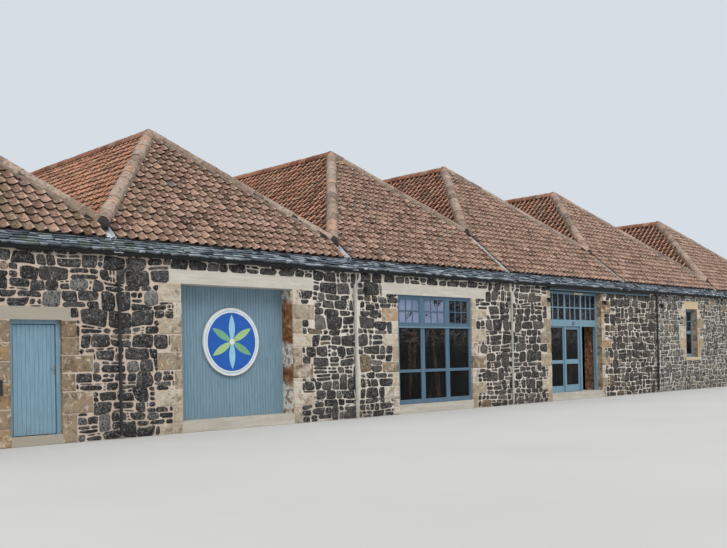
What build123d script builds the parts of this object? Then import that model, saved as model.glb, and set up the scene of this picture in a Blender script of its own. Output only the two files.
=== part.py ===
from build123d import *
from dataclasses import dataclass
import math
import os

# Long stone steading of six hipped bays side by side under one clay pantile roof.
# Millimetres and degrees. X runs along the front to the right, Y goes into the building and
# Z is up. The origin is the centre of the plan, on the ground.

# Plan and roof form
bay_widths = [5985, 5870, 5995, 6145, 6770, 6690]
valley_rises = [275, 400, 1195, 1020, 285]
house_depth = 16800
front_pitch = 39.9
side_pitch = 42.1
eave_height = 3610
eave_setback = 210
eave_overhang = 85
roof_thickness = 100
slate_drop = 40
gutter_drop = 60
gutter_width = 200
tile_gauge = 249
tile_step = 18
first_tile_course = 224
hip_tile_radius = 140
hip_seam = 1
ridge_tile_radius = 135
cap_tile_sides = 16

# Walls
wall_thickness = 610
head_course_depth = 520
head_bevel = 400
floor_thickness = 150
lintel_height = 265
sill_projection = 25

# Openings, each measured from the left edge of its bay
small_door_left = 4030
small_door_width = 900
small_door_head = 2100
small_door_lintel_height = 220
small_door_lintel_bearing = 160
small_door_threshold = 160
cart_left = 1325
cart_width = 2750
cart_threshold = 210
cart_bearings = (255, 575)
big_window_left = 1415
big_window_width = 2770
big_window_sill = 215
big_window_bearings = (530, 590)
entrance_left = 1765
entrance_width = 2750
entrance_head_depth = 455
entrance_threshold = 215
entrance_bearing = 200
narrow_window_left = 3960
narrow_window_width = 890
narrow_window_bottom = 1135
narrow_window_lintel_bearing = 90
narrow_window_sill_height = 100
windows_per_side = 3

# Valley beams and the posts under them
beam_width = 280
beam_depth = 320
post_width = 180
post_base_width = 260
post_base_height = 120
posts_per_valley = 3
post_end_distance = 450

# Joinery
door_clearance = 6
door_free_clearance = 8
small_door_recess = 85
small_door_frame_width = 70
small_door_frame_depth = 90
small_door_thickness = 45
small_door_knob_height = 1285
knob_edge_distance = 55
knob_radius = 24
knob_thickness = 22
knob_neck_radius = 14
knob_reach = 50
round_bar_sides = 12
hinge_radius = 5
hinge_offset = 6
hinge_gap = 0.3
hinge_knuckle = 40
hinge_plate_width = 34
hinge_plate_thickness = 4
hinge_plate_setback = 2
hinge_levels = (0.12, 0.5, 0.88)
cart_panel_recess = 365
cart_panel_thickness = 60
sign_diameter = 1370
sign_sides = 64
sign_thickness = 40
sign_standoff = 25
sign_height = 1725
sign_spacer_radius = 40
big_window_recess = 50
big_window_frame_depth = 85
big_window_stile = 85
big_window_mullion = 140
big_window_bottom_rail = 110
big_window_mid_rail_height = 1010
big_window_mid_rail = 70
big_window_top_light = 735
big_window_transom = 95
big_window_top_rail = 60
narrow_window_recess = 175
narrow_window_frame_depth = 90
narrow_window_stile = 60
narrow_window_bottom_rail = 90
narrow_window_top_rail = 55
narrow_window_upper_sash = 815
narrow_window_meeting_rail = 50
glass_thickness = 12
glass_setback = 30

# Entrance screen
entrance_recess = 165
entrance_frame_depth = 95
entrance_post = 75
entrance_jamb_post = 85
entrance_first_post_left = 945
entrance_leaf_width = 784
entrance_transom_bottom = 2150
entrance_transom_height = 165
entrance_top_rail = 60
entrance_top_mullion = 75
entrance_side_recess = 40
entrance_side_rail = 100
entrance_side_stile = 40
entrance_side_bottom_rail = 190
leaf_thickness = 50
leaf_stile = 65
leaf_top_rail = 80
leaf_mid_rail = 135
leaf_mid_rail_height = 1110
leaf_bottom_rail = 200
leaf_foot_clearance = 12

# Rail hood over the entrance, downpipes and lamps
hood_left = 1650
hood_length = 5800
hood_height = 85
hood_projection = 75
pipe_radius = 29
pipe_offset = 65
pipe_bracket_size = 90
pipe_bracket_thickness = 30
pipe_foot = 60
black_pipe_top_offset = 230
pale_pipe_top_offset = 150
pipe_top_gap = 20
pipe_straight_top = 130
pipe_bend_radius = 60
pipe_bracket_levels = (350, 1700, 2750)
lamp_eave_gap = 383
lamp_size = 75
lamp_drop = 130
lamp_arm = 60

# Places of the pipes and lamps along the front wall, measured from bay edges or the entrance
entrance_right_pipe = 1785
left_pale_pipe = -35
right_pale_pipe = -170
left_lamp = 320
entrance_left_lamp = -150
entrance_right_lamp = 80
right_lamp = 2110


@dataclass
class Opening:
    """A hole in a wall, placed along the wall from its left end seen from outside."""
    left: float
    width: float
    bottom: float
    head: float
    lintel: float
    bearings: tuple
    sill: float
    sill_bearing: float = 0
    sill_projection: float = 0

    @property
    def right(self):
        return self.left + self.width

    @property
    def centre(self):
        return self.left + self.width / 2


# Positions that follow from the driving dimensions
tan_front = math.tan(math.radians(front_pitch))
tan_side = math.tan(math.radians(side_pitch))
bay_count = len(bay_widths)
house_length = sum(bay_widths) + 2 * eave_setback
left_face = -house_length / 2
right_face = house_length / 2
front_face = -house_depth / 2
tile_edge = front_face + eave_setback
bay_edges = [left_face + eave_setback + sum(bay_widths[:k]) for k in range(bay_count + 1)]
edge_rises = [0] + valley_rises + [0]
eave_drop = (eave_setback + eave_overhang) * tan_front
side_reach = eave_drop / tan_side
eave_underside = eave_height - roof_thickness - eave_drop
gutter_half = gutter_width / 2
head_course_bottom = eave_height - head_course_depth
lintel_bottom = head_course_bottom - lintel_height
entrance_head = eave_height - entrance_head_depth
lamp_height = eave_underside - lamp_eave_gap


def block(x0, x1, y0, y1, z0, z1):
    """A box between two corners."""
    centre = ((x0 + x1) / 2, (y0 + y1) / 2, (z0 + z1) / 2)
    return Pos(*centre) * Box(x1 - x0, y1 - y0, z1 - z0)


def prism(points, path):
    """A flat outline in space, pushed along a straight path."""
    outline = make_face(Polyline(*points, close=True))
    return extrude(outline, amount=Vector(*path).length, dir=path)


def solids_of(shapes):
    """All the single solids in a list of shapes."""
    return [solid for shape in shapes for solid in shape.solids()]


# Roof form: every slope is a plan outline lifted to one of four planes, so that neighbours
# meet in an upright mitre along hips, ridges and valleys.

def ridge_of(k):
    """Where the two side slopes of a bay meet: the ridge's X and its rise over the tile edge."""
    left, right = bay_edges[k], bay_edges[k + 1]
    low_left, low_right = edge_rises[k], edge_rises[k + 1]
    x = (left + right) / 2 + (low_right - low_left) / (2 * tan_side)
    rise = (tan_side * (right - left) + low_left + low_right) / 2
    return x, rise


def front_point(x, rise):
    """A point on the front slope with a given rise over the tile edge."""
    return (x, tile_edge + rise / tan_front, eave_height + rise)


def back(point):
    """The same point on the rear half of the roof."""
    return (point[0], -point[1], point[2])


def gutter_side(k, side, inset):
    """X and rise of the lower edge of a bay's side slope, clear of the valley gutter."""
    edge = k if side == "left" else k + 1
    at_end = edge in (0, bay_count)
    step = 0 if at_end else inset
    direction = 1 if side == "left" else -1
    return bay_edges[edge] + direction * step, edge_rises[edge] + step * tan_side


def front_slope_outline(k, inset=gutter_half):
    """Corners of the front slope of a bay, from the tile edge up to the apex."""
    left_x, left_rise = gutter_side(k, "left", inset)
    right_x, right_rise = gutter_side(k, "right", inset)
    corners = [front_point(left_x, 0), front_point(right_x, 0)]
    if right_rise > 0:
        corners.append(front_point(right_x, right_rise))
    corners.append(front_point(*ridge_of(k)))
    if left_rise > 0:
        corners.append(front_point(left_x, left_rise))
    return corners


def side_slope_outline(k, side, inset=gutter_half):
    """Corners of a side slope of a bay, between its two hips."""
    foot = front_point(*gutter_side(k, side, inset))
    apex = front_point(*ridge_of(k))
    return [foot, apex, back(apex), back(foot)]


def lowered(points, drop):
    """The same points, moved down."""
    return [(x, y, z - drop) for x, y, z in points]


def roof_slab(points, drop=0, thickness=roof_thickness):
    """A slope of even upright thickness under its outline."""
    return prism(lowered(points, drop), (0, 0, -thickness))


def tiled_slab(points, uphill, across, pitch):
    """A slope under stepped courses of tiles, which climb uphill from its first corner."""
    origin = Vector(*points[0])
    uphill = Vector(*uphill)
    across = Vector(*across)
    runs = [(Vector(*point) - origin).dot(uphill) for point in points]
    widths = [(Vector(*point) - origin).dot(across) for point in points]
    slope = math.tan(math.radians(pitch))
    gauge = tile_gauge * math.cos(math.radians(pitch))
    run = first_tile_course * math.cos(math.radians(pitch)) - gauge
    section = [(run, run * slope - roof_thickness)]
    while run < max(runs):
        section.append((run, run * slope + tile_step))
        run += gauge
        section.append((run, run * slope))
    section.append((run, run * slope - roof_thickness))
    side = origin + across * min(widths)
    corners = [side + uphill * x + Vector(0, 0, z) for x, z in section]
    courses = prism([tuple(corner) for corner in corners],
                    tuple(across * (max(widths) - min(widths))))
    foot = min(z for x, y, z in points) - 2 * roof_thickness
    upright = prism([(x, y, foot) for x, y, z in points], (0, 0, house_depth / 2))
    return courses & upright


def tiled_front_slope(k):
    """The front slope of a bay with its tile courses."""
    return tiled_slab(front_slope_outline(k), (0, 1, 0), (1, 0, 0), front_pitch)


def tiled_side_slope(k, side):
    """A side slope of a bay with its tile courses."""
    uphill = (1, 0, 0) if side == "left" else (-1, 0, 0)
    return tiled_slab(side_slope_outline(k, side), uphill, (0, 1, 0), side_pitch)


def mirrored_to_back(shapes):
    """Copies of front shapes on the rear of the building."""
    return [mirror(shape, about=Plane.XZ) for shape in shapes]


def eave_strip(k):
    """The band of slates under the front tile edge of a bay, mitred at the corners."""
    left_x = gutter_side(k, "left", gutter_half)[0]
    right_x = gutter_side(k, "right", gutter_half)[0]
    low_left = left_x - (side_reach if k == 0 else 0)
    low_right = right_x + (side_reach if k == bay_count - 1 else 0)
    outline = [front_point(left_x, 0), front_point(right_x, 0),
               front_point(low_right, -eave_drop), front_point(low_left, -eave_drop)]
    return roof_slab(outline, slate_drop, roof_thickness - slate_drop)


def end_eave_strip(side):
    """The band of slates along an end of the building."""
    edge = bay_edges[0] if side == "left" else bay_edges[-1]
    out = -side_reach if side == "left" else side_reach
    top = front_point(edge, 0)
    low = front_point(edge + out, -eave_drop)
    return roof_slab([top, low, back(low), back(top)], slate_drop, roof_thickness - slate_drop)


def valley_gutter(edge):
    """A lead trough from eave to eave: up the front slope, along the valley and down behind."""
    x = bay_edges[edge]
    rise = edge_rises[edge] + gutter_half * tan_side
    low = front_point(x - gutter_half, -eave_drop)
    high = front_point(x - gutter_half, rise)
    top = lowered([low, high, back(high), back(low)], gutter_drop)
    under = lowered(top, roof_thickness - gutter_drop)
    return prism(top + under[::-1], (gutter_width, 0, 0))


def round_run(start, end, radius, overrun=0, sides=round_bar_sides):
    """A many-sided bar along a line, a little longer at both ends."""
    direction = (Vector(*end) - Vector(*start)).normalized()
    origin = Vector(*start) - direction * overrun
    length = (Vector(*end) - Vector(*start)).length + 2 * overrun
    section = Plane(origin=origin, z_dir=direction) * RegularPolygon(radius, sides)
    return extrude(section, amount=length)


def bay_cutter(k):
    """Everything under the tile courses of a bay's roof, deep enough to trim its cap tiles."""
    depth = 4 * hip_tile_radius
    slopes = [front_slope_outline(k, 0), side_slope_outline(k, "left", 0),
              side_slope_outline(k, "right", 0)]
    slabs = [roof_slab(outline, -tile_step, depth) for outline in slopes]
    return slabs + mirrored_to_back(slabs[:1])


def ridge_tiles(k):
    """The half-round capping along a ridge."""
    apex = front_point(*ridge_of(k))
    run = round_run(apex, back(apex), ridge_tile_radius, 0, cap_tile_sides)
    for cutter in bay_cutter(k):
        run -= cutter
    return run


def hip_tiles(k, side, neighbours):
    """The half-round capping along a front hip, mitred at the apex and at its foot."""
    apex = front_point(*ridge_of(k))
    foot_x, foot_rise = gutter_side(k, side, 0)
    foot = front_point(foot_x, foot_rise)
    run = round_run(foot, apex, hip_tile_radius, hip_tile_radius, cap_tile_sides)
    for cutter in bay_cutter(k) + neighbours:
        run -= cutter
    low_x, high_x = sorted((foot_x, apex[0]))
    reach = 2 * hip_tile_radius
    keep = block(low_x + hip_seam, high_x - hip_seam, tile_edge, apex[1] + reach,
                 eave_height - reach, apex[2] + reach)
    return run & keep


# Walls: each is built lying along X with its outer face on Y = 0, then turned into place.

def wall_place(side):
    """Where the left end of a wall's outer face stands, and how the wall is turned."""
    places = {
        "front": Location((left_face, front_face, 0)),
        "rear": Location((right_face, -front_face, 0), (0, 0, 180)),
        "left": Location((left_face, -front_face, 0), (0, 0, -90)),
        "right": Location((right_face, front_face, 0), (0, 0, 90)),
    }
    return places[side]


def wall_stones(openings, start, end):
    """Piers, blocks under and over the openings, lintels and sills of one wall."""
    lintels = []
    sills = []
    aprons = []
    overs = []
    for hole in openings:
        sill_bottom = hole.bottom - hole.sill
        sills.append(block(hole.left - hole.sill_bearing, hole.right + hole.sill_bearing,
                           -hole.sill_projection, wall_thickness, sill_bottom, hole.bottom))
        if sill_bottom > 0:
            aprons.append(block(hole.left, hole.right, 0, wall_thickness, 0, sill_bottom))
        if hole.lintel > 0:
            top = hole.head + hole.lintel
            lintels.append(block(hole.left - hole.bearings[0], hole.right + hole.bearings[1],
                                 0, wall_thickness, hole.head, top))
            if top < head_course_bottom:
                overs.append(block(hole.left, hole.right, 0, wall_thickness, top,
                                   head_course_bottom))
    edges = [start] + [x for hole in openings for x in (hole.left, hole.right)] + [end]
    piers = []
    for left, right in zip(edges[::2], edges[1::2]):
        pier = block(left, right, 0, wall_thickness, 0, head_course_bottom)
        for stone in lintels + sills:
            pier -= stone
        piers.append(pier)
    return {"piers": piers, "aprons": aprons, "overs": overs, "lintels": lintels, "sills": sills}


def wall_head(start, end, tan_pitch):
    """The top course of a wall, filled up to the underside of the roof."""
    face_top = eave_height - roof_thickness - eave_setback * tan_pitch
    bevel_top = face_top + head_bevel * tan_pitch
    section = [(start, 0, head_course_bottom), (start, wall_thickness, head_course_bottom),
               (start, wall_thickness, bevel_top), (start, head_bevel, bevel_top),
               (start, 0, face_top)]
    return prism(section, (end - start, 0, 0))


def under_end_slopes(depth):
    """The space under the roof's two end slopes, for trimming the long walls' corners."""
    face_top = eave_height - roof_thickness - eave_setback * tan_side
    run = 2 * wall_thickness
    rise = run * tan_side
    section = [(0, 0, 0), (house_length, 0, 0), (house_length, 0, face_top),
               (house_length - run, 0, face_top + rise), (run, 0, face_top + rise),
               (0, 0, face_top)]
    return prism(section, (0, depth, 0))


def narrow_window(left):
    """A tall narrow window opening with a sandstone lintel and sill."""
    bearings = (narrow_window_lintel_bearing, narrow_window_lintel_bearing)
    return Opening(left, narrow_window_width, narrow_window_bottom, lintel_bottom, lintel_height,
                   bearings, narrow_window_sill_height, narrow_window_lintel_bearing,
                   sill_projection)


def bay_start(k):
    """Left edge of a bay along the front wall, from the building's left corner."""
    return bay_edges[k] - left_face


def centred_window(start, length):
    """A narrow window in the middle of a stretch of wall."""
    return narrow_window(start + (length - narrow_window_width) / 2)


small_door_bearings = (small_door_lintel_bearing, small_door_lintel_bearing)
small_doorway = Opening(bay_start(0) + small_door_left, small_door_width, small_door_threshold,
                        small_door_head, small_door_lintel_height, small_door_bearings,
                        small_door_threshold)
cart_opening = Opening(bay_start(1) + cart_left, cart_width, cart_threshold, lintel_bottom,
                       lintel_height, cart_bearings, cart_threshold)
big_window = Opening(bay_start(2) + big_window_left, big_window_width, big_window_sill,
                     lintel_bottom, lintel_height, big_window_bearings, big_window_sill)
entrance = Opening(bay_start(3) + entrance_left, entrance_width, entrance_threshold,
                   entrance_head, 0, (entrance_bearing, entrance_bearing), entrance_threshold)
front_windows = [narrow_window(bay_start(4) + narrow_window_left),
                 centred_window(bay_start(5), bay_widths[5])]
front_openings = [small_doorway, cart_opening, big_window, entrance] + front_windows

rear_starts = [house_length - bay_start(k) - bay_widths[k] for k in range(bay_count)]
rear_windows = [centred_window(start, width) for start, width in zip(rear_starts, bay_widths)]
rear_windows.sort(key=lambda hole: hole.left)

side_stretch = (house_depth - 2 * wall_thickness) / windows_per_side
side_windows = [centred_window(wall_thickness + n * side_stretch, side_stretch)
                for n in range(windows_per_side)]

wall_windows = {"front": front_windows, "rear": rear_windows,
                "left": side_windows, "right": side_windows}


def placed(side, shapes):
    """Shapes built along X, moved to their wall."""
    return [wall_place(side) * shape for shape in shapes]


# Joinery: frames are blocks with their lights cut out, and each light holds its own pane.

def frame_with_lights(outer, columns, rows, front, depth):
    """A flat frame: outer is left, right, bottom and top, columns and rows are the lights."""
    left, right, bottom, top = outer
    frame = block(left, right, front, front + depth, bottom, top)
    for x0, x1 in columns:
        for z0, z1 in rows:
            frame -= block(x0, x1, front - depth, front + 2 * depth, z0, z1)
    return frame


def panes(columns, rows, front):
    """A sheet of glass in each light."""
    return [block(x0, x1, front, front + glass_thickness, z0, z1)
            for x0, x1 in columns for z0, z1 in rows]


def split_lights(start, end, dividers, width):
    """Stretches between dividers of even width, given their centres."""
    edges = [start]
    for centre in dividers:
        edges += [centre - width / 2, centre + width / 2]
    edges.append(end)
    return list(zip(edges[::2], edges[1::2]))


def sash_window(hole):
    """Frame and panes of a narrow window with two sashes."""
    columns = [(hole.left + narrow_window_stile, hole.right - narrow_window_stile)]
    rail_low = hole.head - narrow_window_upper_sash - narrow_window_meeting_rail / 2
    rail_high = rail_low + narrow_window_meeting_rail
    rows = [(hole.bottom + narrow_window_bottom_rail, rail_low),
            (rail_high, hole.head - narrow_window_top_rail)]
    outer = (hole.left, hole.right, hole.bottom, hole.head)
    frame = frame_with_lights(outer, columns, rows, narrow_window_recess,
                              narrow_window_frame_depth)
    return frame, panes(columns, rows, narrow_window_recess + glass_setback)


def three_light_window(hole):
    """Frame and panes of the big window: three lights wide and three high."""
    thirds = [hole.left + hole.width * n / 3 for n in (1, 2)]
    columns = split_lights(hole.left + big_window_stile, hole.right - big_window_stile, thirds,
                           big_window_mullion)
    mid_low = big_window_mid_rail_height - big_window_mid_rail / 2
    transom_low = hole.head - big_window_top_light - big_window_transom / 2
    rows = [(hole.bottom + big_window_bottom_rail, mid_low),
            (mid_low + big_window_mid_rail, transom_low),
            (transom_low + big_window_transom, hole.head - big_window_top_rail)]
    outer = (hole.left, hole.right, hole.bottom, hole.head)
    frame = frame_with_lights(outer, columns, rows, big_window_recess, big_window_frame_depth)
    return frame, panes(columns, rows, big_window_recess + glass_setback)


def hinges(x, y, bottom, top):
    """Knuckles of a door's hinges on one upright axis: the fixed ones and the leaf's own."""
    fixed = []
    moving = []
    plate_front = y - hinge_offset
    plate_rear = plate_front + hinge_plate_thickness
    for share in hinge_levels:
        middle = bottom + share * (top - bottom)
        low = middle - hinge_knuckle / 2
        high = middle + hinge_knuckle / 2
        knuckle = round_run((x, y, low), (x, y, high), hinge_radius)
        plate = block(x + hinge_plate_setback, x + hinge_plate_width, plate_front, plate_rear,
                      low, high)
        moving.append(knuckle + plate)
        for start in (low - hinge_gap - hinge_knuckle, high + hinge_gap):
            stop = start + hinge_knuckle
            knuckle = round_run((x, y, start), (x, y, stop), hinge_radius)
            plate = block(x - hinge_plate_width, x - hinge_plate_setback, plate_front, plate_rear,
                          start, stop)
            fixed.append(knuckle + plate)
    return fixed, moving


def small_door_parts():
    """Frame, boarded leaf, knob and hinges of the small door."""
    hole = small_doorway
    front = small_door_recess
    inner_left = hole.left + small_door_frame_width
    inner_right = hole.right - small_door_frame_width
    inner_top = hole.head - small_door_frame_width
    frame = block(hole.left, hole.right, front, front + small_door_frame_depth, hole.bottom,
                  hole.head)
    frame -= block(inner_left, inner_right, front - small_door_frame_depth,
                   front + 2 * small_door_frame_depth, hole.bottom, inner_top)
    leaf_front = front + small_door_frame_depth - small_door_thickness
    leaf_right = inner_right - door_free_clearance
    leaf = block(inner_left + door_clearance, leaf_right, leaf_front,
                 leaf_front + small_door_thickness, hole.bottom + door_clearance,
                 inner_top - door_clearance)
    knob_x = leaf_right - knob_edge_distance
    knob_rear = (knob_x, leaf_front - knob_reach + knob_thickness, small_door_knob_height)
    knob_front = (knob_x, leaf_front - knob_reach, small_door_knob_height)
    knob = round_run((knob_x, leaf_front, small_door_knob_height), knob_rear, knob_neck_radius)
    knob += round_run(knob_rear, knob_front, knob_radius)
    fixed, moving = hinges(inner_left + door_clearance,
                           leaf_front + small_door_thickness + hinge_offset,
                           hole.bottom, inner_top)
    for knuckle in moving:
        leaf += knuckle
    return frame, leaf, knob, fixed


def cart_panel_parts():
    """The boarded panel that closes the cart opening, and the round sign on it."""
    hole = cart_opening
    front = cart_panel_recess
    panel = block(hole.left, hole.right, front, front + cart_panel_thickness, hole.bottom,
                  hole.head)
    rear = front - sign_standoff
    sign = round_run((hole.centre, rear, sign_height),
                     (hole.centre, rear - sign_thickness, sign_height),
                     sign_diameter / 2, 0, sign_sides)
    for x in (hole.centre - sign_diameter / 4, hole.centre + sign_diameter / 4):
        sign += round_run((x, front, sign_height), (x, rear, sign_height), sign_spacer_radius)
    return panel, sign


def entrance_parts():
    """The entrance screen: posts, transom, top lights, side light and the glazed leaf."""
    hole = entrance
    front = entrance_recess
    rear = front + entrance_frame_depth
    first_post = hole.left + entrance_first_post_left
    leaf_left = first_post + entrance_post
    leaf_right = leaf_left + entrance_leaf_width
    transom_top = entrance_transom_bottom + entrance_transom_height
    post_spans = [(hole.left, hole.left + entrance_jamb_post),
                  (first_post, leaf_left),
                  (leaf_right, leaf_right + entrance_post),
                  (hole.right - entrance_jamb_post, hole.right)]
    posts = [block(x0, x1, front, rear, hole.bottom, entrance_transom_bottom)
             for x0, x1 in post_spans]
    transom = block(hole.left, hole.right, front, rear, entrance_transom_bottom, transom_top)
    mullions = [first_post + entrance_post / 2, leaf_right + entrance_post / 2]
    top_columns = split_lights(hole.left + entrance_jamb_post, hole.right - entrance_jamb_post,
                               mullions, entrance_top_mullion)
    top_rows = [(transom_top + entrance_top_rail / 2, hole.head - entrance_top_rail)]
    top_frame = frame_with_lights((hole.left, hole.right, transom_top, hole.head), top_columns,
                                  top_rows, front, entrance_frame_depth)
    top_glass = panes(top_columns, top_rows, front + glass_setback)

    side_left = hole.left + entrance_jamb_post
    side_columns = [(side_left + entrance_side_stile, first_post - entrance_side_stile)]
    mid_low = leaf_mid_rail_height - entrance_side_rail / 2
    side_rows = [(hole.bottom + entrance_side_bottom_rail, mid_low),
                 (mid_low + entrance_side_rail, entrance_transom_bottom - entrance_side_stile)]
    side_front = front + entrance_side_recess
    side_depth = entrance_frame_depth - entrance_side_recess
    side_frame = frame_with_lights((side_left, first_post, hole.bottom, entrance_transom_bottom),
                                   side_columns, side_rows, side_front, side_depth)
    side_glass = panes(side_columns, side_rows, side_front + glass_thickness)

    leaf_x0 = leaf_left + door_clearance
    leaf_x1 = leaf_right - door_free_clearance
    leaf_z0 = hole.bottom + leaf_foot_clearance
    leaf_z1 = entrance_transom_bottom - door_clearance
    leaf_front = rear - leaf_thickness
    rail_low = leaf_mid_rail_height - leaf_mid_rail / 2
    leaf_columns = [(leaf_x0 + leaf_stile, leaf_x1 - leaf_stile)]
    leaf_rows = [(leaf_z0 + leaf_bottom_rail, rail_low),
                 (rail_low + leaf_mid_rail, leaf_z1 - leaf_top_rail)]
    leaf = frame_with_lights((leaf_x0, leaf_x1, leaf_z0, leaf_z1), leaf_columns, leaf_rows,
                             leaf_front, leaf_thickness)
    leaf_glass = panes(leaf_columns, leaf_rows, leaf_front + (leaf_thickness - glass_thickness) / 2)
    fixed, moving = hinges(leaf_x0, rear + hinge_offset, hole.bottom, entrance_transom_bottom)
    for knuckle in moving:
        leaf += knuckle
    return {"posts": posts, "transom": transom, "top_frame": top_frame, "top_glass": top_glass,
            "side_frame": side_frame, "side_glass": side_glass, "leaf": leaf,
            "leaf_glass": leaf_glass, "hinges": fixed}


# Fittings on the front wall, in the wall's own frame

def downpipe(x, top_shift):
    """A round pipe with a bend under the eave, and the brackets that hold it to the wall."""
    top = eave_underside - pipe_top_gap
    bend = top - pipe_straight_top
    route = [(x + top_shift, -pipe_offset, top), (x + top_shift, -pipe_offset, bend),
             (x, -pipe_offset, bend - abs(top_shift)), (x, -pipe_offset, pipe_foot)]
    if top_shift:
        path = FilletPolyline(*route, radius=pipe_bend_radius)
    else:
        path = Polyline(route[0], route[-1])
    start = Plane(origin=route[0], z_dir=(0, 0, -1))
    pipe = sweep(start * RegularPolygon(pipe_radius, round_bar_sides), path=path)
    for level in pipe_bracket_levels:
        pipe += block(x - pipe_bracket_size / 2, x + pipe_bracket_size / 2,
                      -pipe_offset, 0, level, level + pipe_bracket_thickness)
    return pipe


def wall_lamp(x):
    """A small black lamp on a short arm."""
    arm = block(x - lamp_arm / 2, x + lamp_arm / 2, -lamp_arm, 0, lamp_height,
                lamp_height + lamp_arm)
    head = block(x - lamp_size / 2, x + lamp_size / 2, -lamp_arm - lamp_size, -lamp_arm,
                 lamp_height - lamp_drop + lamp_arm, lamp_height + lamp_arm)
    return arm + head


def valley_posts(edge):
    """Square timber posts under a valley beam, each on a stone base block."""
    x = bay_edges[edge]
    rise = edge_rises[edge] + gutter_half * tan_side
    beam_bottom = eave_height + rise - roof_thickness - beam_depth
    first = front_point(x, rise)[1] + post_end_distance
    spacing = -2 * first / (posts_per_valley - 1)
    posts = []
    for n in range(posts_per_valley):
        y = first + n * spacing
        half = post_width / 2
        post = block(x - half, x + half, y - half, y + half, floor_thickness, beam_bottom)
        half = post_base_width / 2
        post += block(x - half, x + half, y - half, y + half, floor_thickness,
                      floor_thickness + post_base_height)
        posts.append(post)
    return posts


def valley_beam(edge):
    """A timber beam under a valley gutter."""
    x = bay_edges[edge]
    rise = edge_rises[edge] + gutter_half * tan_side
    start = front_point(x, rise)[1]
    top = eave_height + rise - roof_thickness
    return block(x - beam_width / 2, x + beam_width / 2, start, -start, top - beam_depth, top)


# Build every node

inner_edges = range(1, bay_count)
bays = range(bay_count)
nodes = {}

wall_ends = {"front": (0, house_length), "rear": (0, house_length),
             "left": (wall_thickness, house_depth - wall_thickness),
             "right": (wall_thickness, house_depth - wall_thickness)}
wall_openings = dict(wall_windows, front=front_openings)
stones = {side: wall_stones(wall_openings[side], *wall_ends[side]) for side in wall_ends}

nodes["front_wall_piers"] = placed("front", stones["front"]["piers"])
nodes["rear_wall_piers"] = placed("rear", stones["rear"]["piers"])
nodes["side_wall_piers"] = placed("left", stones["left"]["piers"]) + placed(
    "right", stones["right"]["piers"])
nodes["wall_under_windows"] = [s for side in stones for s in placed(side, stones[side]["aprons"])]
nodes["wall_over_small_door"] = placed("front", stones["front"]["overs"])

long_head = wall_head(0, house_length, tan_front) & under_end_slopes(wall_thickness)
beam_zone = block(entrance.left - entrance_bearing, entrance.right + entrance_bearing,
                  0, wall_thickness, entrance.head, eave_height + house_depth)
entrance_hole = block(entrance.left, entrance.right, 0, wall_thickness, 0, entrance.head)
nodes["front_wall_head"] = placed("front", [long_head - beam_zone - entrance_hole])
nodes["entrance_beam"] = placed("front", [long_head & beam_zone])
nodes["rear_wall_head"] = placed("rear", [long_head])
side_head = wall_head(wall_thickness, house_depth - wall_thickness, tan_side)
nodes["side_wall_heads"] = placed("left", [side_head]) + placed("right", [side_head])

front_lintels = stones["front"]["lintels"]
front_sills = stones["front"]["sills"]
nodes["front_lintels"] = placed("front", front_lintels[:3])
nodes["narrow_window_lintels"] = placed("front", front_lintels[3:]) + [
    s for side in ("rear", "left", "right") for s in placed(side, stones[side]["lintels"])]
nodes["thresholds"] = placed("front", front_sills[:4])
nodes["narrow_window_sills"] = placed("front", front_sills[4:]) + [
    s for side in ("rear", "left", "right") for s in placed(side, stones[side]["sills"])]

nodes["floor"] = [block(left_face + wall_thickness, right_face - wall_thickness,
                        front_face + wall_thickness, -front_face - wall_thickness,
                        0, floor_thickness)]

front_slopes = [tiled_front_slope(k) for k in bays]
front_slates = [eave_strip(k) for k in bays]
ridges = [ridge_tiles(k) for k in bays]
gutters = [valley_gutter(edge) for edge in inner_edges]
front_hips = [hip_tiles(k, side, [ridges[k]] + gutters) for k in bays for side in ("left", "right")]
nodes["hipped_end_slopes"] = front_slopes + mirrored_to_back(front_slopes)
nodes["left_roof_slopes"] = [tiled_side_slope(k, "left") for k in bays]
nodes["right_roof_slopes"] = [tiled_side_slope(k, "right") for k in bays]
nodes["long_eave_slates"] = front_slates + mirrored_to_back(front_slates)
nodes["end_eave_slates"] = [end_eave_strip("left"), end_eave_strip("right")]
nodes["ridge_tiles"] = ridges
nodes["hip_tiles"] = front_hips + mirrored_to_back(front_hips)
nodes["valley_gutters"] = gutters
nodes["valley_beams"] = [valley_beam(edge) for edge in inner_edges]
nodes["valley_posts"] = [post for edge in inner_edges for post in valley_posts(edge)]

sashes = []
sash_panes = []
for side, holes in wall_windows.items():
    for hole in holes:
        frame, glass = sash_window(hole)
        sashes += placed(side, [frame])
        sash_panes += placed(side, glass)
nodes["narrow_window_sashes"] = sashes
nodes["narrow_window_glass"] = sash_panes

big_frame, big_glass = three_light_window(big_window)
nodes["big_window_frame"] = placed("front", [big_frame])
nodes["big_window_glass"] = placed("front", big_glass)

door_frame, door_leaf, door_knob, door_hinges = small_door_parts()
nodes["small_door_frame"] = placed("front", [door_frame])
nodes["small_door"] = placed("front", [door_leaf])
nodes["small_door_knob"] = placed("front", [door_knob])

panel, sign = cart_panel_parts()
nodes["cart_panel"] = placed("front", [panel])
nodes["round_sign"] = placed("front", [sign])

screen = entrance_parts()
nodes["entrance_posts"] = placed("front", screen["posts"])
nodes["entrance_transom"] = placed("front", [screen["transom"]])
nodes["entrance_top_frame"] = placed("front", [screen["top_frame"]])
nodes["entrance_side_frame"] = placed("front", [screen["side_frame"]])
nodes["entrance_glass"] = placed("front", screen["top_glass"] + screen["side_glass"])
nodes["entrance_door"] = placed("front", [screen["leaf"]])
nodes["entrance_door_glass"] = placed("front", screen["leaf_glass"])

nodes["door_hinges"] = placed("front", door_hinges + screen["hinges"])

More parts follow.
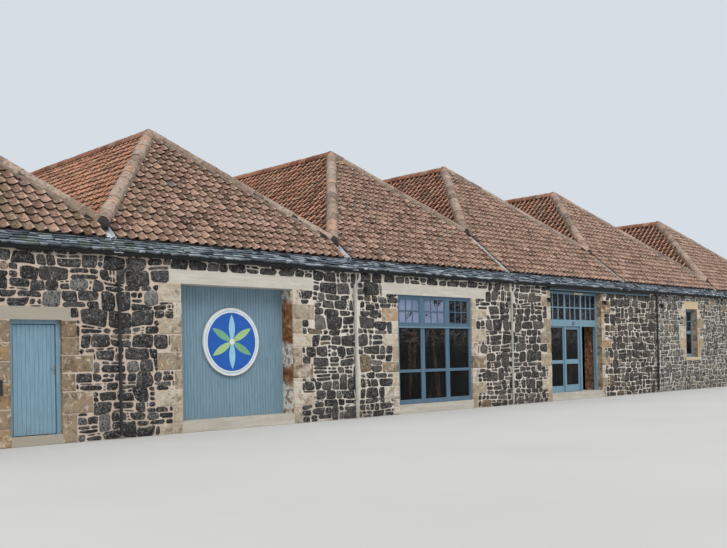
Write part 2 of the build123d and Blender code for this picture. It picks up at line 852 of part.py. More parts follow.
hood_start = bay_start(3) + hood_left
nodes["rail_hood"] = placed("front", [block(hood_start, hood_start + hood_length, -hood_projection,
                                            0, eave_underside - hood_height, eave_underside)])
nodes["black_downpipes"] = placed("front", [
    downpipe(bay_start(1), black_pipe_top_offset), downpipe(bay_start(4) + entrance_right_pipe, 0)])
nodes["pale_downpipes"] = placed("front", [
    downpipe(bay_start(2) + left_pale_pipe, pale_pipe_top_offset),
    downpipe(bay_start(3) + right_pale_pipe, pale_pipe_top_offset)])
nodes["wall_lamps"] = placed("front", [wall_lamp(x) for x in (
    bay_start(2) + left_lamp, entrance.left + entrance_left_lamp,
    entrance.right + entrance_right_lamp, bay_start(4) + right_lamp)])

os.makedirs("parts", exist_ok=True)
for name, shapes in nodes.items():
    pieces = solids_of(shapes)
    shape = pieces[0] if len(pieces) == 1 else Compound(children=pieces)
    export_step(shape, "parts/" + name + ".step")
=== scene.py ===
import math

import bpy
import numpy as np
from mathutils import Matrix, Vector


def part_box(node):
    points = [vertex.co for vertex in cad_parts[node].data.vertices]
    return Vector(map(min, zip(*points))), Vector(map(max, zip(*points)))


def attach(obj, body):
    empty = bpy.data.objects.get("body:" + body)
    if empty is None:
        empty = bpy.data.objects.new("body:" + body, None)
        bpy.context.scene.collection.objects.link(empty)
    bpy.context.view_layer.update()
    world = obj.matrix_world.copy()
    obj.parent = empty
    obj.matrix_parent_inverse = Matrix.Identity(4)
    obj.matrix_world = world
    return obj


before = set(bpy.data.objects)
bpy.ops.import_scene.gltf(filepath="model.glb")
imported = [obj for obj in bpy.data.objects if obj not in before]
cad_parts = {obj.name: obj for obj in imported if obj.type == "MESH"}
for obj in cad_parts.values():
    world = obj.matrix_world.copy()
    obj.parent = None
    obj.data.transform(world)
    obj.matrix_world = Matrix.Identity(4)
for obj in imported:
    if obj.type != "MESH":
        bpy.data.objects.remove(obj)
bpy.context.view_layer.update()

# Looks of a long stone steading: rubble walls, dressed stones, a roof of separate pantiles and
# painted joinery. Metres. X runs along the front, Y goes into the building and Z is up.

rng = np.random.default_rng(11)
BODY = "building"
UP = (0, 0, 1)

# Roof form, the same driving sizes as the construction
BAY_WIDTHS = (5.985, 5.870, 5.995, 6.145, 6.770, 6.690)
EDGE_RISES = (0, 0.275, 0.400, 1.195, 1.020, 0.285, 0)
HOUSE_DEPTH = 16.8
FRONT_PITCH = math.radians(39.9)
SIDE_PITCH = math.radians(42.1)
EAVE_HEIGHT = 3.61
EAVE_SETBACK = 0.21
EAVE_OVERHANG = 0.085
GUTTER_HALF = 0.1
SLATE_DROP = 0.04
ROOF_THICKNESS = 0.1
WALL_THICKNESS = 0.61

# Roof coverings
TILE_COVER = 0.216
TILE_GAUGE = 0.249
TILE_LAP = 0.02
TILE_BED = 0.026
TILE_LIFT = 0.037
TILE_THICKNESS = 0.021
TILE_OVERHANG = 0.035
TILE_PROFILE = np.array(((0, 0.002), (0.10, -0.008), (0.30, -0.012), (0.50, -0.006),
                         (0.62, 0.008), (0.73, 0.029), (0.83, 0.038), (0.93, 0.026), (1.0, 0.002)))
# Painted shade across the pantile profile, kept as the third tone of each point: dark at the joints
# beside each roll, lighter up the channel and none on the roll top, with some dirt in the channels as
# well. The turned set is for slopes seen side-on; the hollow set darkens the lips, most under the
# rolls.
TILE_SHADE = np.array((1.0, 0.75, 0.42, 0.3, 0.2, 0.0, 0.0, 0.6, 1.0))
TILE_SHADE_TURNED = np.array((1.0, 1.0, 0.85, 0.6, 0.25, 0.0, 0.0, 0.3, 1.0))
HOLLOW_SHADE = np.array((0.3, 0.25, 0.35, 0.9, 1.0, 1.0, 0.8, 0.9, 1.0))
SLATE_COURSES = 5
SLATE_WIDTHS = (0.13, 0.28)
SLATE_THICKNESS = 0.020
GUTTER_DROP = 0.06
# The black gutter edge, which also stands for painted shadow under the eaves: its reach below and
# above the slates' underside, and how far it stands proud.
EAVE_STRIP = (0.004, 0.044, 0.010)
CAP_LENGTH = 0.34
CAP_RADIUS = 0.14
RIDGE_CAP_RADIUS = 0.145
CAP_RAISE = 0.014
CAP_WALL = 0.018

# Walls
MORTAR_GAP = 0.009
MORTAR_GAP_FAR = 0.0085
GAP_PLACES = (9.0, 24.5)
STONE_RELIEF = 0.009
COURSE_HEIGHTS = (0.125, 0.27)
STONE_WIDTHS = (0.14, 0.50)
SIDE_SLANT = 0.026
TALL_SHARE = 0.09
TALL_WIDTHS = (0.14, 0.36)
TALL_LIMIT = 0.42
SMALLEST_STONE = 0.0007
SMALLEST_CUT_STONE = 0.0012
FAR_WALL_SIZE = 1.15
QUOIN_HEIGHTS = (0.28, 0.36)
QUOIN_WIDTHS = (0.20, 0.50)
CORNER_WIDTHS = (0.32, 0.58)
BLOCK_RELIEF = 0.012
ARRIS = 0.010
REST_OF_CORNER = 0.15
REST_OF_JAMB = 0.18
JAMB_LAP = 0.009

# Upright strips of bare pointing on the front, beside the pale pipes
POINTED_STRIPS = ((-6.82, -6.77), (-0.99, -0.95))

# Jamb stones of the front openings, from left to right: the top and width of each, top down
FRONT_JAMBS = (
    (((2.08, 0.45), (1.72, 0.22), (1.41, 0.45), (1.05, 0.25), (0.62, 0.50), (0.30, 0.25)),
     ((2.08, 0.26), (1.80, 0.31), (1.50, 0.57), (1.19, 0.24), (0.87, 0.56), (0.49, 0.26))),
    (((2.80, 0.49), (2.46, 0.17), (2.16, 0.49), (1.86, 0.25), (1.53, 0.53), (1.19, 0.17),
      (0.83, 0.49), (0.52, 0.22), (0.20, 0.50)),
     ((2.80, 0.18), (2.52, 0.60), (2.18, 0.25), (1.88, 0.52), (1.60, 0.24), (1.25, 0.54),
      (0.94, 0.22), (0.63, 0.56), (0.37, 0.20))),
    (((2.80, 0.0), (2.50, 0.55), (2.18, 0.22), (1.89, 0.52), (1.62, 0.21), (1.25, 0.56),
      (0.99, 0.21), (0.68, 0.50), (0.37, 0.20)),
     ((2.80, 0.16), (2.55, 0.62), (2.31, 0.18), (2.03, 0.57), (1.70, 0.24), (1.35, 0.58),
      (1.02, 0.21), (0.66, 0.56), (0.37, 0.20))),
    (((3.15, 0.18), (3.00, 0.46), (2.70, 0.20), (2.35, 0.35), (1.96, 0.52), (1.66, 0.20),
      (1.35, 0.50), (1.00, 0.20), (0.65, 0.45), (0.35, 0.20)),
     ((3.15, 0.15), (2.96, 0.53), (2.55, 0.15), (2.20, 0.20), (1.75, 0.56), (1.50, 0.15),
      (1.19, 0.47), (0.95, 0.15), (0.60, 0.30), (0.30, 0.20))),
    (((2.83, 0.50), (2.55, 0.22), (2.22, 0.50), (1.83, 0.47), (1.43, 0.20)),
     ((2.83, 0.24), (2.50, 0.50), (2.16, 0.22), (1.80, 0.48), (1.45, 0.24))),
)

# Joinery
BAR_WIDTH = 0.024
BAR_DEPTH = 0.022
SASH_BORDER = 0.032
TOP_LIGHTS = 2.0
TOP_LIGHT_BAR = (2.685, 2.720)
BOARD_GAP = 0.0012
CART_BOARD = 0.0697
DOOR_BOARD = 0.0713
LEAF_LEFT = -14.6215
LATCH_HEIGHTS = (1.17, 1.33)
BELL_PULL = ((-14.905, -14.840), (0.86, 1.11))
STRIP_LAMP = ((2.32, 2.79), (3.098, 3.152))
HORSESHOE = (2.31, 2.225)
DOORWAY_FOOT = 0.17

HALF_DEPTH = HOUSE_DEPTH / 2
FRONT_Y = -HALF_DEPTH
TILE_EDGE = EAVE_SETBACK - HALF_DEPTH
HOUSE_LENGTH = sum(BAY_WIDTHS) + 2 * EAVE_SETBACK
LEFT_FACE = -HOUSE_LENGTH / 2
BAY_COUNT = len(BAY_WIDTHS)
BAY_EDGES = [LEFT_FACE + EAVE_SETBACK + sum(BAY_WIDTHS[:k]) for k in range(BAY_COUNT + 1)]
FACE_TOP = EAVE_HEIGHT - ROOF_THICKNESS - EAVE_SETBACK * math.tan(FRONT_PITCH)


# Materials

def linear(colour):
    """A linear colour from three screen values of 0 to 255; four values are linear already."""
    if len(colour) == 4:
        return colour
    values = [v / 255 for v in colour]
    return (*(v / 12.92 if v <= 0.04045 else ((v + 0.055) / 1.055) ** 2.4 for v in values), 1.0)


def scaled(colour, factor, lift=0.0):
    """A darker or paler colour, worked out in linear values."""
    return (*(min(v * factor + lift, 1) for v in linear(colour)[:3]), 1)


def put(tree, socket, value):
    """Links an output into a socket, or sets the socket's own number or colour."""
    if isinstance(value, bpy.types.NodeSocket):
        tree.links.new(value, socket)
    else:
        socket.default_value = linear(value) if socket.type == "RGBA" else value


def add_node(tree, kind, inputs, **settings):
    """Adds a shader node and gives its outputs."""
    node = tree.nodes.new("ShaderNode" + kind)
    for key, value in settings.items():
        setattr(node, key, value)
    for key, value in inputs.items():
        put(tree, node.inputs[key], value)
    return node.outputs


class Shader:
    """A node material on one Principled surface, whose colour is painted layer by layer."""

    def __init__(self, name, roughness=0.8, specular=0.3):
        self.material = bpy.data.materials.new(name)
        self.material.use_nodes = True
        self.tree = self.material.node_tree
        self.surface = self.tree.nodes["Principled BSDF"].inputs
        self.surface["Roughness"].default_value = roughness
        self.surface["Specular IOR Level"].default_value = specular
        self.where = self.node("TexCoord")["Object"]
        self.base = None

    def node(self, kind, inputs=None, **settings):
        return add_node(self.tree, kind, inputs or {}, **settings)

    def stretched(self, scale):
        """Object coordinates, scaled by axis."""
        return self.node("Mapping", {"Vector": self.where, "Scale": scale})["Vector"]

    def noise(self, scale, detail=4.0, roughness=0.55, distortion=0.0, stretch=None):
        where = self.stretched(stretch) if stretch else self.where
        return self.node("TexNoise", {"Vector": where, "Scale": scale, "Detail": detail,
                                      "Roughness": roughness, "Distortion": distortion})["Fac"]

    def cells(self, scale, where=None):
        return self.node("TexVoronoi", {"Vector": where or self.where, "Scale": scale})["Distance"]

    def tone(self, channel):
        """One of the three tones that every small shape carries, mostly random; on tiles, caps and
        slates the third one is painted shade.
        """
        tones = self.node("Attribute", attribute_name="tone")["Vector"]
        return self.node("SeparateXYZ", {0: tones})[channel]

    def ramp(self, value, *stops):
        """A colour ramp: stops are (position, colour)."""
        factor = self.node("ValToRGB", {"Fac": value})
        elements = factor[0].node.color_ramp.elements
        while len(elements) < len(stops):
            elements.new(0.5)
        for element, (position, colour) in zip(elements, stops):
            element.position = position
            element.color = linear(colour)
        return factor["Color"]

    def band(self, value, low, high):
        """0 below low, 1 above high and smooth between, also with low above high."""
        return self.node("MapRange", {"Value": value, "From Min": low, "From Max": high},
                         interpolation_type="SMOOTHSTEP")["Result"]

    def zone(self, channel, low, high):
        """A band along the object's X, Y or Z."""
        return self.band(self.node("SeparateXYZ", {0: self.where})[channel], low, high)

    def patches(self, low, high, *noise):
        """A band of noise."""
        return self.band(self.noise(*noise), low, high)

    def maths(self, operation, first, second):
        return self.node("Math", {0: first, 1: second}, operation=operation, use_clamp=True)[0]

    def times(self, first, second):
        return self.maths("MULTIPLY", first, second)

    def mix(self, share, first, second):
        return self.node("Mix", {0: share, 6: first, 7: second}, data_type="RGBA")[2]

    def lay(self, colour, strength, share):
        """Lays a colour over the base where the share says, at most as thick as its strength."""
        share = share if strength == 1 else self.times(share, strength)
        self.base = self.mix(share, self.base, colour)

    def rough(self, value, *stops):
        """Roughness from a ramp: stops are (position, roughness)."""
        greys = [(position, (grey, grey, grey, 1)) for position, grey in stops]
        put(self.tree, self.surface["Roughness"], self.ramp(value, *greys))

    def done(self, *reliefs):
        """The material with its colour and its relief: each is (height, distance, strength)."""
        put(self.tree, self.surface["Base Color"], self.base)
        below = {}
        for height, distance, strength in reliefs:
            bump = self.node("Bump", {"Height": height, "Distance": distance,
                                      "Strength": strength, **below})["Normal"]
            below = {"Normal": bump}
            put(self.tree, self.surface["Normal"], bump)
        return self.material


def mortar():
    """Pale lime pointing, pinkish at the left end and greyer near the ground."""
    s = Shader("lime_mortar", 0.92, 0.2)
    grit = s.noise(90, 3)
    s.base = s.ramp(s.noise(2.1, 5), (0.3, (202, 191, 179)), (0.7, (232, 224, 214)))
    s.lay((190, 166, 148), 0.6, s.zone(0, -9.5, -12.5))
    s.lay((202, 199, 192), 0.7, s.zone(0, 6.7, 7.4))
    s.lay((150, 136, 122), 0.6, s.band(grit, 0.5, 0.75))
    s.lay((112, 98, 86), 0.55, s.patches(0.54, 0.68, 7, 7, 0.75))
    s.lay((110, 104, 88), 0.6, s.times(s.zone(2, 0.6, 0.0), s.patches(0.35, 0.65, 1.6, 4)))
    return s.done((s.noise(28, 5), 0.008, 0.7), (grit, 0.002, 0.5))


def rubble():
    """Dark whinstone, near black at the left end, browner and limewashed to the right."""
    s = Shader("whinstone", 0.8, 0.35)
    dark = s.ramp(s.tone(0), (0.0, (30, 28, 28)), (0.5, (48, 45, 43)), (0.8, (68, 64, 61)),
                  (0.93, (92, 90, 88)), (1.0, (128, 126, 122)))
    brown = s.ramp(s.tone(0), (0.0, (38, 32, 29)), (0.5, (58, 50, 45)), (0.85, (80, 71, 64)),
                   (1.0, (118, 108, 98)))
    warm = s.ramp(s.tone(1), (0.0, (96, 74, 54)), (0.5, (140, 116, 84)), (1.0, (176, 158, 128)))
    mottle = s.noise(11, 6, 0.65)
    s.base = s.mix(s.zone(0, -11.0, 3.0), dark, brown)
    s.lay(warm, 1, s.tone(2))
    s.lay((106, 106, 107), 0.5, s.band(mottle, 0.5, 0.66))
    s.lay((15, 14, 14), 0.92, s.patches(0.50, 0.59, 31, 5, 0.65))
    s.lay((178, 175, 171), 0.75, s.patches(0.555, 0.61, 26, 7, 0.8, 0.7))
    s.lay((190, 180, 168), 0.5, s.patches(0.58, 0.65, 9, 7, 0.8, 0.8))
    s.lay((186, 181, 173), 0.75, s.times(s.zone(0, 6.7, 7.4), s.patches(0.51, 0.56, 10, 8, 0.8, 0.7)))
    s.rough(mottle, (0.3, 0.9), (0.7, 0.62))
    return s.done((s.noise(22, 6, 0.65), 0.016, 0.9), (s.cells(30), 0.008, 0.7))


def sandstone():
    """Tooled sandstone: a tone for each block, bedding streaks, and soot and lime stains."""
    s = Shader("sandstone", 0.88, 0.25)
    pale, stain = (150, 137, 118), 0.65
    weathered = s.patches(0.36, 0.56, 5, 6, 0.7, 0.4)
    earth = s.ramp(s.tone(1), (0.0, (92, 74, 55)), (0.5, (124, 104, 80)), (1.0, (150, 122, 88)))
    s.base = s.ramp(s.tone(0), (0.0, pale), (0.5, (187, 174, 153)), (1.0, (212, 203, 188)))
    s.lay((184, 134, 86), 0.55, s.times(s.band(s.tone(1), 0.86, 0.92), weathered))
    s.lay((108, 84, 64), 0.85, s.times(s.band(s.tone(1), 0.12, 0.07), weathered))
    s.lay(earth, 0.75, s.zone(0, -12.0, -13.4))
    s.lay(pale, 0.5, s.patches(0.45, 0.7, 2.6, 6, 0.65, 0, (0.8, 0.8, 4.0)))
    s.lay((184, 146, 102), 0.4, s.patches(0.52, 0.62, 6, 6, 0.7, 0.5))
    s.lay((84, 72, 58), stain, s.patches(0.50, 0.60, 5.5, 8, 0.8, 0.6))
    s.lay((216, 206, 188), stain, s.patches(0.53, 0.62, 8, 7, 0.75, 0.6))
    s.lay((104, 90, 72), stain * 0.6, s.patches(0.58, 0.68, 44, 5, 0.7))
    return s.done((s.noise(36, 6, 0.6), 0.008, 0.9), (s.noise(9, 4), 0.014, 0.7))


def dressed(name, low, high, far):
    """Pale dressed stone with level streaks, greyer at the left end and its own tone far right."""
    s = Shader(name, 0.88, 0.25)
    s.base = s.ramp(s.noise(3.2, 6, 0.65, 0, (0.5, 0.5, 5.0)), (0.3, low), (0.7, high))
    s.lay((158, 150, 136), 0.75, s.zone(0, -12.2, -13.2))
    s.lay(far, 0.8, s.zone(0, 7.2, 8.2))
    s.lay((150, 138, 120), 0.3, s.patches(0.55, 0.7, 7, 6, 0.7))
    s.lay((140, 130, 116), 0.25, s.patches(0.58, 0.68, 50, 5, 0.7))
    return s.done((s.noise(36, 6, 0.6), 0.005, 0.8))


def clay(name, dark, middle, bright, lichen, roll_highlight):
    """Pantile clay: a tone for each tile, painted shade with some dirt in the channels and under the
    lips, a painted highlight on the roll tops, lichen, lime spots and moss.
    """
    s = Shader(name, 0.85, 0.25)
    mossy = s.times(s.patches(0.44, 0.62, 1.5, 5), s.patches(0.4, 0.6, 24, 5))
    moss_strength = s.maths("ADD", s.times(s.zone(0, -11.5, -15.0), 0.4), 0.2)
    s.base = s.ramp(s.tone(0), (0.0, dark), (0.25, middle), (0.85, bright), (1.0, (186, 148, 128)))
    s.lay((98, 92, 94), 0.7, s.band(s.tone(1), 0.965, 0.985))
    s.lay((112, 84, 70), 0.3, s.patches(0.45, 0.65, 0.7, 4))
    # Painted highlight on the roll tops, where the third tone is near zero.
    s.lay(roll_highlight, 0.72, s.band(s.tone(2), 0.22, 0.0))
    s.lay((68, 50, 42), 0.62, s.patches(0.49, 0.60, 15, 7, 0.75))
    # Painted shade, with some dirt in the channels: near black where the third tone is high.
    s.lay((34, 26, 23), 0.93, s.band(s.tone(2), 0.25, 0.95))
    s.lay((204, 188, 168), lichen, s.patches(0.55, 0.60, 13, 7, 0.85, 0.5))
    s.lay((126, 120, 84), moss_strength, mossy)
    return s.done((s.noise(60, 5, 0.6), 0.003, 0.7))


def slate():
    """Riven blue-grey slates with pale edges, lichen and greenish streaks; their thick lower edges
    get painted shade.
    """
    s = Shader("slate", 0.66, 0.45)
    s.base = s.ramp(s.tone(0), (0.0, (66, 73, 82)), (0.4, (116, 126, 138)), (0.8, (150, 160, 170)),
                    (1.0, (178, 188, 196)))
    s.lay((50, 54, 58), 0.6, s.patches(0.5, 0.66, 9, 6, 0.7))
    s.lay((182, 188, 192), 0.45, s.patches(0.57, 0.66, 15, 6, 0.75))
    s.lay((118, 134, 112), 0.45, s.times(s.zone(0, -8, -14), s.patches(0.45, 0.6, 3, 5)))
    # Painted shade: near black where the third tone is high, on the lower edges of the slates.
    s.lay((24, 26, 29), 1, s.tone(2))
    return s.done((s.noise(24, 6, 0.6, 0, (1, 1, 2.5)), 0.008, 0.9))


def paint(name, colour, worn=0.25):
    """Brushed oil paint on timber: faint grain, dirt in patches and small chips."""
    s = Shader(name, 0.5, 0.4)
    grain = s.noise(6, 5, 0.6, 0, (6, 6, 0.5))
    darker = scaled(colour, 0.78)
    s.base = s.ramp(grain, (0.25, darker), (0.5, colour), (0.8, scaled(colour, 1.14, 0.01)))
    s.lay(darker, 0.25, s.patches(0.5, 0.72, 1.7, 5, 0.6))
    s.lay((196, 196, 188), worn, s.patches(0.71, 0.75, 60, 4, 0.6))
    s.lay((128, 122, 108), 0.2, s.times(s.zone(2, 0.7, 0.2), s.patches(0.45, 0.7, 5, 5)))
    s.rough(grain, (0.3, 0.62), (0.8, 0.42))
    return s.done((grain, 0.0012, 0.6))


def iron(name, colour, rust=0.4, roughness=0.45):
    """Painted iron, and other dull coats, with soft patches and a little rust; also the near-black
    sheets that stand for painted shade.
    """
    s = Shader(name, roughness, 0.5)
    s.base = s.ramp(s.noise(12, 5), (0.35, colour), (0.75, scaled(colour, 1.5, 0.004)))
    s.lay((104, 62, 38), rust, s.patches(0.6, 0.7, 26, 6, 0.7))
    return s.done((s.noise(70, 4), 0.0012, 0.6))


def lead():
    """Weathered sheet lead, pale and blotchy."""
    s = Shader("lead", 0.55, 0.5)
    s.surface["Metallic"].default_value = 0.1
    s.base = s.ramp(s.noise(5, 6, 0.65), (0.3, (186, 190, 194)), (0.7, (226, 228, 230)))
    return s.done((s.noise(14, 4), 0.006, 0.5))


def timber():
    """Old sawn structural timber."""
    s = Shader("old_timber", 0.8, 0.3)
    grain = s.noise(7, 6, 0.6, 0, (6, 0.7, 6))
    s.base = s.ramp(grain, (0.3, (70, 54, 40)), (0.7, (126, 102, 78)))
    return s.done((grain, 0.003, 0.6))


def flags():
    """Worn stone flags, their joints drawn by a brick pattern."""
    s = Shader("stone_flags", 0.75, 0.35)
    s.base = s.node("TexBrick", {"Vector": s.where, "Scale": 1.0, "Brick Width": 0.8,
                                 "Row Height": 0.5, "Mortar Size": 0.008,
                                 "Color1": (132, 126, 116), "Color2": (112, 106, 98),
                                 "Mortar": (74, 70, 64)})["Color"]
    s.lay((96, 90, 82), 1, s.patches(0.45, 0.75, 4, 6))
    return s.done((s.noise(20, 5), 0.004, 0.6))


def glass():
    """Old window glass: painted dark for the unlit rooms behind it, with painted reflections: the sky
    in the wide window's top lights, and glints and brown patches lower down.
    """
    s = Shader("window_glass", 0.06, 0.15)
    s.surface["IOR"].default_value = 1.3
    (left, *_), (right, *_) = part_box("big_window_glass")
    # Painted reflection of the sky, for the wide window's top lights.
    sky = s.ramp(s.noise(1.3, 4), (0.35, (104, 119, 147)), (0.65, (142, 154, 180)))
    wide = s.times(s.zone(0, left - 0.02, left), s.zone(0, right - 0.80, right - 0.84))
    ragged = s.patches(0.62, 0.58, 2.4, 5, 0.6, 0.8)
    share = s.times(s.times(s.zone(2, 2.15, 2.17), wide), ragged)
    # Painted reflections: pale glints and brown patches lower down.
    glints = s.patches(0.47, 0.6, 8, 6, 0.75, 0.8, (1.0, 1.0, 2.4))
    brown = s.patches(0.56, 0.62, 1.9, 3, 0.5, 0, (1.6, 1.6, 0.2))
    # Painted shade: the dark rooms behind the glass.
    s.base = s.ramp(s.noise(1.4, 5, 0.6, 0.5), (0.35, (14, 15, 16)), (0.62, (26, 27, 27)),
                    (0.8, (58, 50, 42)))
    s.lay((122, 112, 114), 0.5, s.times(s.zone(2, 1.35, 2.0), glints))
    s.lay((96, 76, 58), 0.5, s.times(brown, s.patches(0.4, 0.6, 13, 5, 0.7)))
    s.lay(sky, 1, share)
    put(s.tree, s.surface["Alpha"], s.maths("ADD", s.times(share, 0.2), 0.8))
    return s.done((s.noise(2.2, 2), 0.004, 0.12))


def hood_paint():
    """A long thin rail cover: blue along its lower edge and dark above, with dark paint and painted
    shade from the eaves.
    """
    s = Shader("hood_paint", 0.6, 0.3)
    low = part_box("rail_hood")[0][2]
    s.base = s.mix(s.patches(0.45, 0.7, 9, 5), (82, 110, 128), (70, 86, 98))
    # Painted shade from the eaves, over dark paint: near black above the lowest few centimetres.
    s.lay((38, 44, 48), 1, s.zone(2, low + 0.018, low + 0.026))
    return s.done((s.noise(30, 4), 0.002, 0.5))


def inner_stone():
    """Red-brown stone inside the doorway, in small dark-jointed pieces."""
    s = Shader("inner_stone", 0.9, 0.2)
    pieces = s.cells(9, s.stretched((1, 1, 1.3)))
    s.base = s.ramp(s.noise(9, 7, 0.75), (0.36, (98, 68, 50)), (0.5, (150, 108, 80)),
                    (0.64, (186, 150, 118)))
    s.lay((84, 62, 48), 0.7, s.band(pieces, 0.56, 0.74))
    return s.done((pieces, 0.03, 0.7), (s.noise(24, 5), 0.008, 0.8))


def patchy_reveal():
    """A reveal with bands of old white limewash over rusty orange and brown stone."""
    s = Shader("patchy_reveal", 0.9, 0.2)
    height = s.node("SeparateXYZ", {0: s.where})[2]
    share = s.maths("ADD", s.maths("DIVIDE", height, 3.4), s.times(s.noise(3, 6, 0.7), 0.15))
    bare, limed = (0, 0, 0, 1), (1, 1, 1, 1)
    washed = s.ramp(share, (0.0, limed), (0.30, limed), (0.335, bare), (0.42, bare), (0.45, limed),
                    (0.55, limed), (0.585, bare), (0.82, bare), (0.86, limed))
    flaked = s.mix(s.patches(0.50, 0.54, 9, 7, 0.75), washed, s.mix(0.85, washed, bare))
    s.base = s.ramp(s.noise(7, 7, 0.8, 0.5), (0.38, (58, 44, 36)), (0.48, (128, 82, 50)),
                    (0.56, (150, 112, 78)), (0.66, (190, 176, 156)))
    s.base = s.mix(flaked, s.base, (216, 212, 204))
    return s.done((s.noise(24, 6, 0.6), 0.008, 0.8))


def enamel(name, colour):
    """Smooth sign paint with faint weathering."""
    s = Shader(name, 0.4, 0.45)
    s.base = s.ramp(s.noise(6, 6, 0.7), (0.35, scaled(colour, 0.86)), (0.65, colour))
    return s.done((s.noise(120, 3), 0.0004, 0.4))


RUBBLE = rubble()
SANDSTONE = sandstone()
# The last colour of each clay is its painted highlight on the roll tops.
END_CLAY = clay("clay_front", (90, 66, 55), (130, 98, 84), (158, 125, 109), 0.65, (222, 190, 172))
SIDE_CLAY = clay("clay_sides", (104, 64, 48), (170, 110, 86), (206, 144, 116), 0.45,
                 (250, 196, 164))
CAP_CLAY = clay("clay_caps", (126, 105, 94), (156, 134, 121), (180, 160, 146), 0.65,
                (206, 182, 166))
RIDGE_CLAY = clay("clay_ridges", (130, 84, 64), (160, 106, 82), (180, 130, 106), 0.35,
                  (206, 160, 134))
CAP_BEDDING = iron("cap_bedding", (122, 108, 96), 0.35, 0.95)
# A black gutter, near black so that it also paints the shadow under the eaves.
GUTTER_AND_SHADOW = iron("gutter_and_eave_shadow", (6, 6, 7), 0.0, 0.9)
SLATE = slate()
LEAD = lead()
PANEL_BLUE = paint("panel_blue", (118, 146, 162))
DOOR_BLUE = paint("door_blue", (124, 156, 174), 0.6)
WINDOW_BLUE = paint("window_blue", (82, 110, 132))
SASH_BLUE = paint("sash_blue", (112, 138, 154))
ENTRANCE_BLUE = paint("entrance_blue", (118, 150, 168))
BLACK_IRON = iron("black_iron", (30, 30, 32))
BRASS = iron("dull_brass", (126, 104, 62), 0.3, 0.4)
RUSTY_IRON = iron("rusty_iron", (66, 52, 46), 0.8, 0.7)
REVEAL = patchy_reveal()
INNER_STONE = inner_stone()
SIGN_WHITE = enamel("sign_white", (232, 232, 230))
SIGN_BLUE = enamel("sign_blue", (22, 92, 184))
SIGN_PALE_BLUE = enamel("sign_pale_blue", (152, 206, 230))
SIGN_GREEN = enamel("sign_green", (166, 204, 140))
SIGN_DEEP_GREEN = enamel("sign_deep_green", (116, 176, 140))
LAMP_GLOW = enamel("lamp_diffuser", (222, 208, 176))


# Meshes: many small shapes are gathered into one mesh, each with its own tones

NO_AREA = 2e-7


def add_object(name, data):
    """Puts new data into the scene as an object."""
    thing = bpy.data.objects.new(name, data)
    bpy.context.scene.collection.objects.link(thing)
    return thing


class Heap:
    """Points and faces of many small shapes on their way into one mesh."""

    def __init__(self):
        self.points = []
        self.tones = []
        self.faces = {3: [], 4: []}
        self.count = 0

    def add(self, points, tones, quads=(), triangles=()):
        """Adds points of one or many shapes, with faces that index into them."""
        points = np.asarray(points, float).reshape(-1, 3)
        self.points.append(points)
        self.tones.append(np.broadcast_to(np.asarray(tones, float), points.shape))
        for corners, faces in ((4, quads), (3, triangles)):
            if len(faces):
                self.faces[corners].append(np.reshape(faces, (-1, corners)) + self.count)
        self.count += len(points)

    def add_grids(self, grids, tones, shade=None):
        """Adds one grid of points (rows, columns, 3), or many, as quads; shade is the third tone."""
        grids = grids.reshape(-1, *grids.shape[-3:])
        shape = grids.shape[:3]
        tones = np.repeat(tones, shape[1] * shape[2], axis=0)
        if shade is not None:
            tones[:, 2] = np.broadcast_to(shade, shape).ravel()
        index = np.arange(len(tones)).reshape(shape)
        quads = np.stack([index[:, :-1, :-1], index[:, :-1, 1:], index[:, 1:, 1:],
                          index[:, 1:, :-1]], axis=-1)
        self.add(grids, tones, quads)

    def build(self, name, material, slot, body=BODY, smooth=True):
        """Makes the mesh object, without the faces that have no area."""
        points, tones = np.concatenate(self.points), np.concatenate(self.tones)
        kept = []
        for groups in self.faces.values():
            if groups:
                faces = np.concatenate(groups)
                spokes = points[faces[:, 1:]] - points[faces[:, :1]]
                areas = np.linalg.norm(np.cross(spokes[:, :-1], spokes[:, 1:]), axis=2)
                kept.append(faces[areas.sum(axis=1) > NO_AREA])
        used, index = np.unique(np.concatenate([f.ravel() for f in kept]), return_inverse=True)
        totals = np.concatenate([np.full(len(f), f.shape[1]) for f in kept])
        mesh = bpy.data.meshes.new(name)
        mesh.vertices.add(len(used))
        mesh.vertices.foreach_set("co", points[used].astype(np.float32).ravel())
        mesh.loops.add(len(index))
        mesh.loops.foreach_set("vertex_index", index.astype(np.int32))
        mesh.polygons.add(len(totals))
        mesh.polygons.foreach_set("loop_start", (np.cumsum(totals) - totals).astype(np.int32))
        mesh.polygons.foreach_set("use_smooth", np.full(len(totals), smooth))
        mesh.update(calc_edges=True)
        tone = mesh.attributes.new("tone", "FLOAT_VECTOR", "POINT")
        tone.data.foreach_set("vector", tones[used].astype(np.float32).ravel())
        mesh.validate()
        mesh.materials.append(material)
        piece = add_object(name, mesh)
        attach(piece, body)


def random_tones(count, third=0.0):
    """Random tones for a number of shapes."""
    tones = rng.random((count, 3))
    tones[:, 2] = third
    return tones


def side_quads(corners, rings):
    """Quads that join each ring of points to the next one."""
    around = np.arange(corners)
    after = (around + 1) % corners
    first = np.stack([around, after, after + corners, around + corners], axis=1)
    return np.concatenate([first + level * corners for level in range(rings - 1)])


def add_rings(heap, rings, tones, *caps):
    """Joins rings of points to one shape, with the given quads at its ends."""
    quads = np.concatenate([caps, side_quads(len(rings[0]), len(rings))])
    heap.add(np.concatenate(rings), tones, quads)


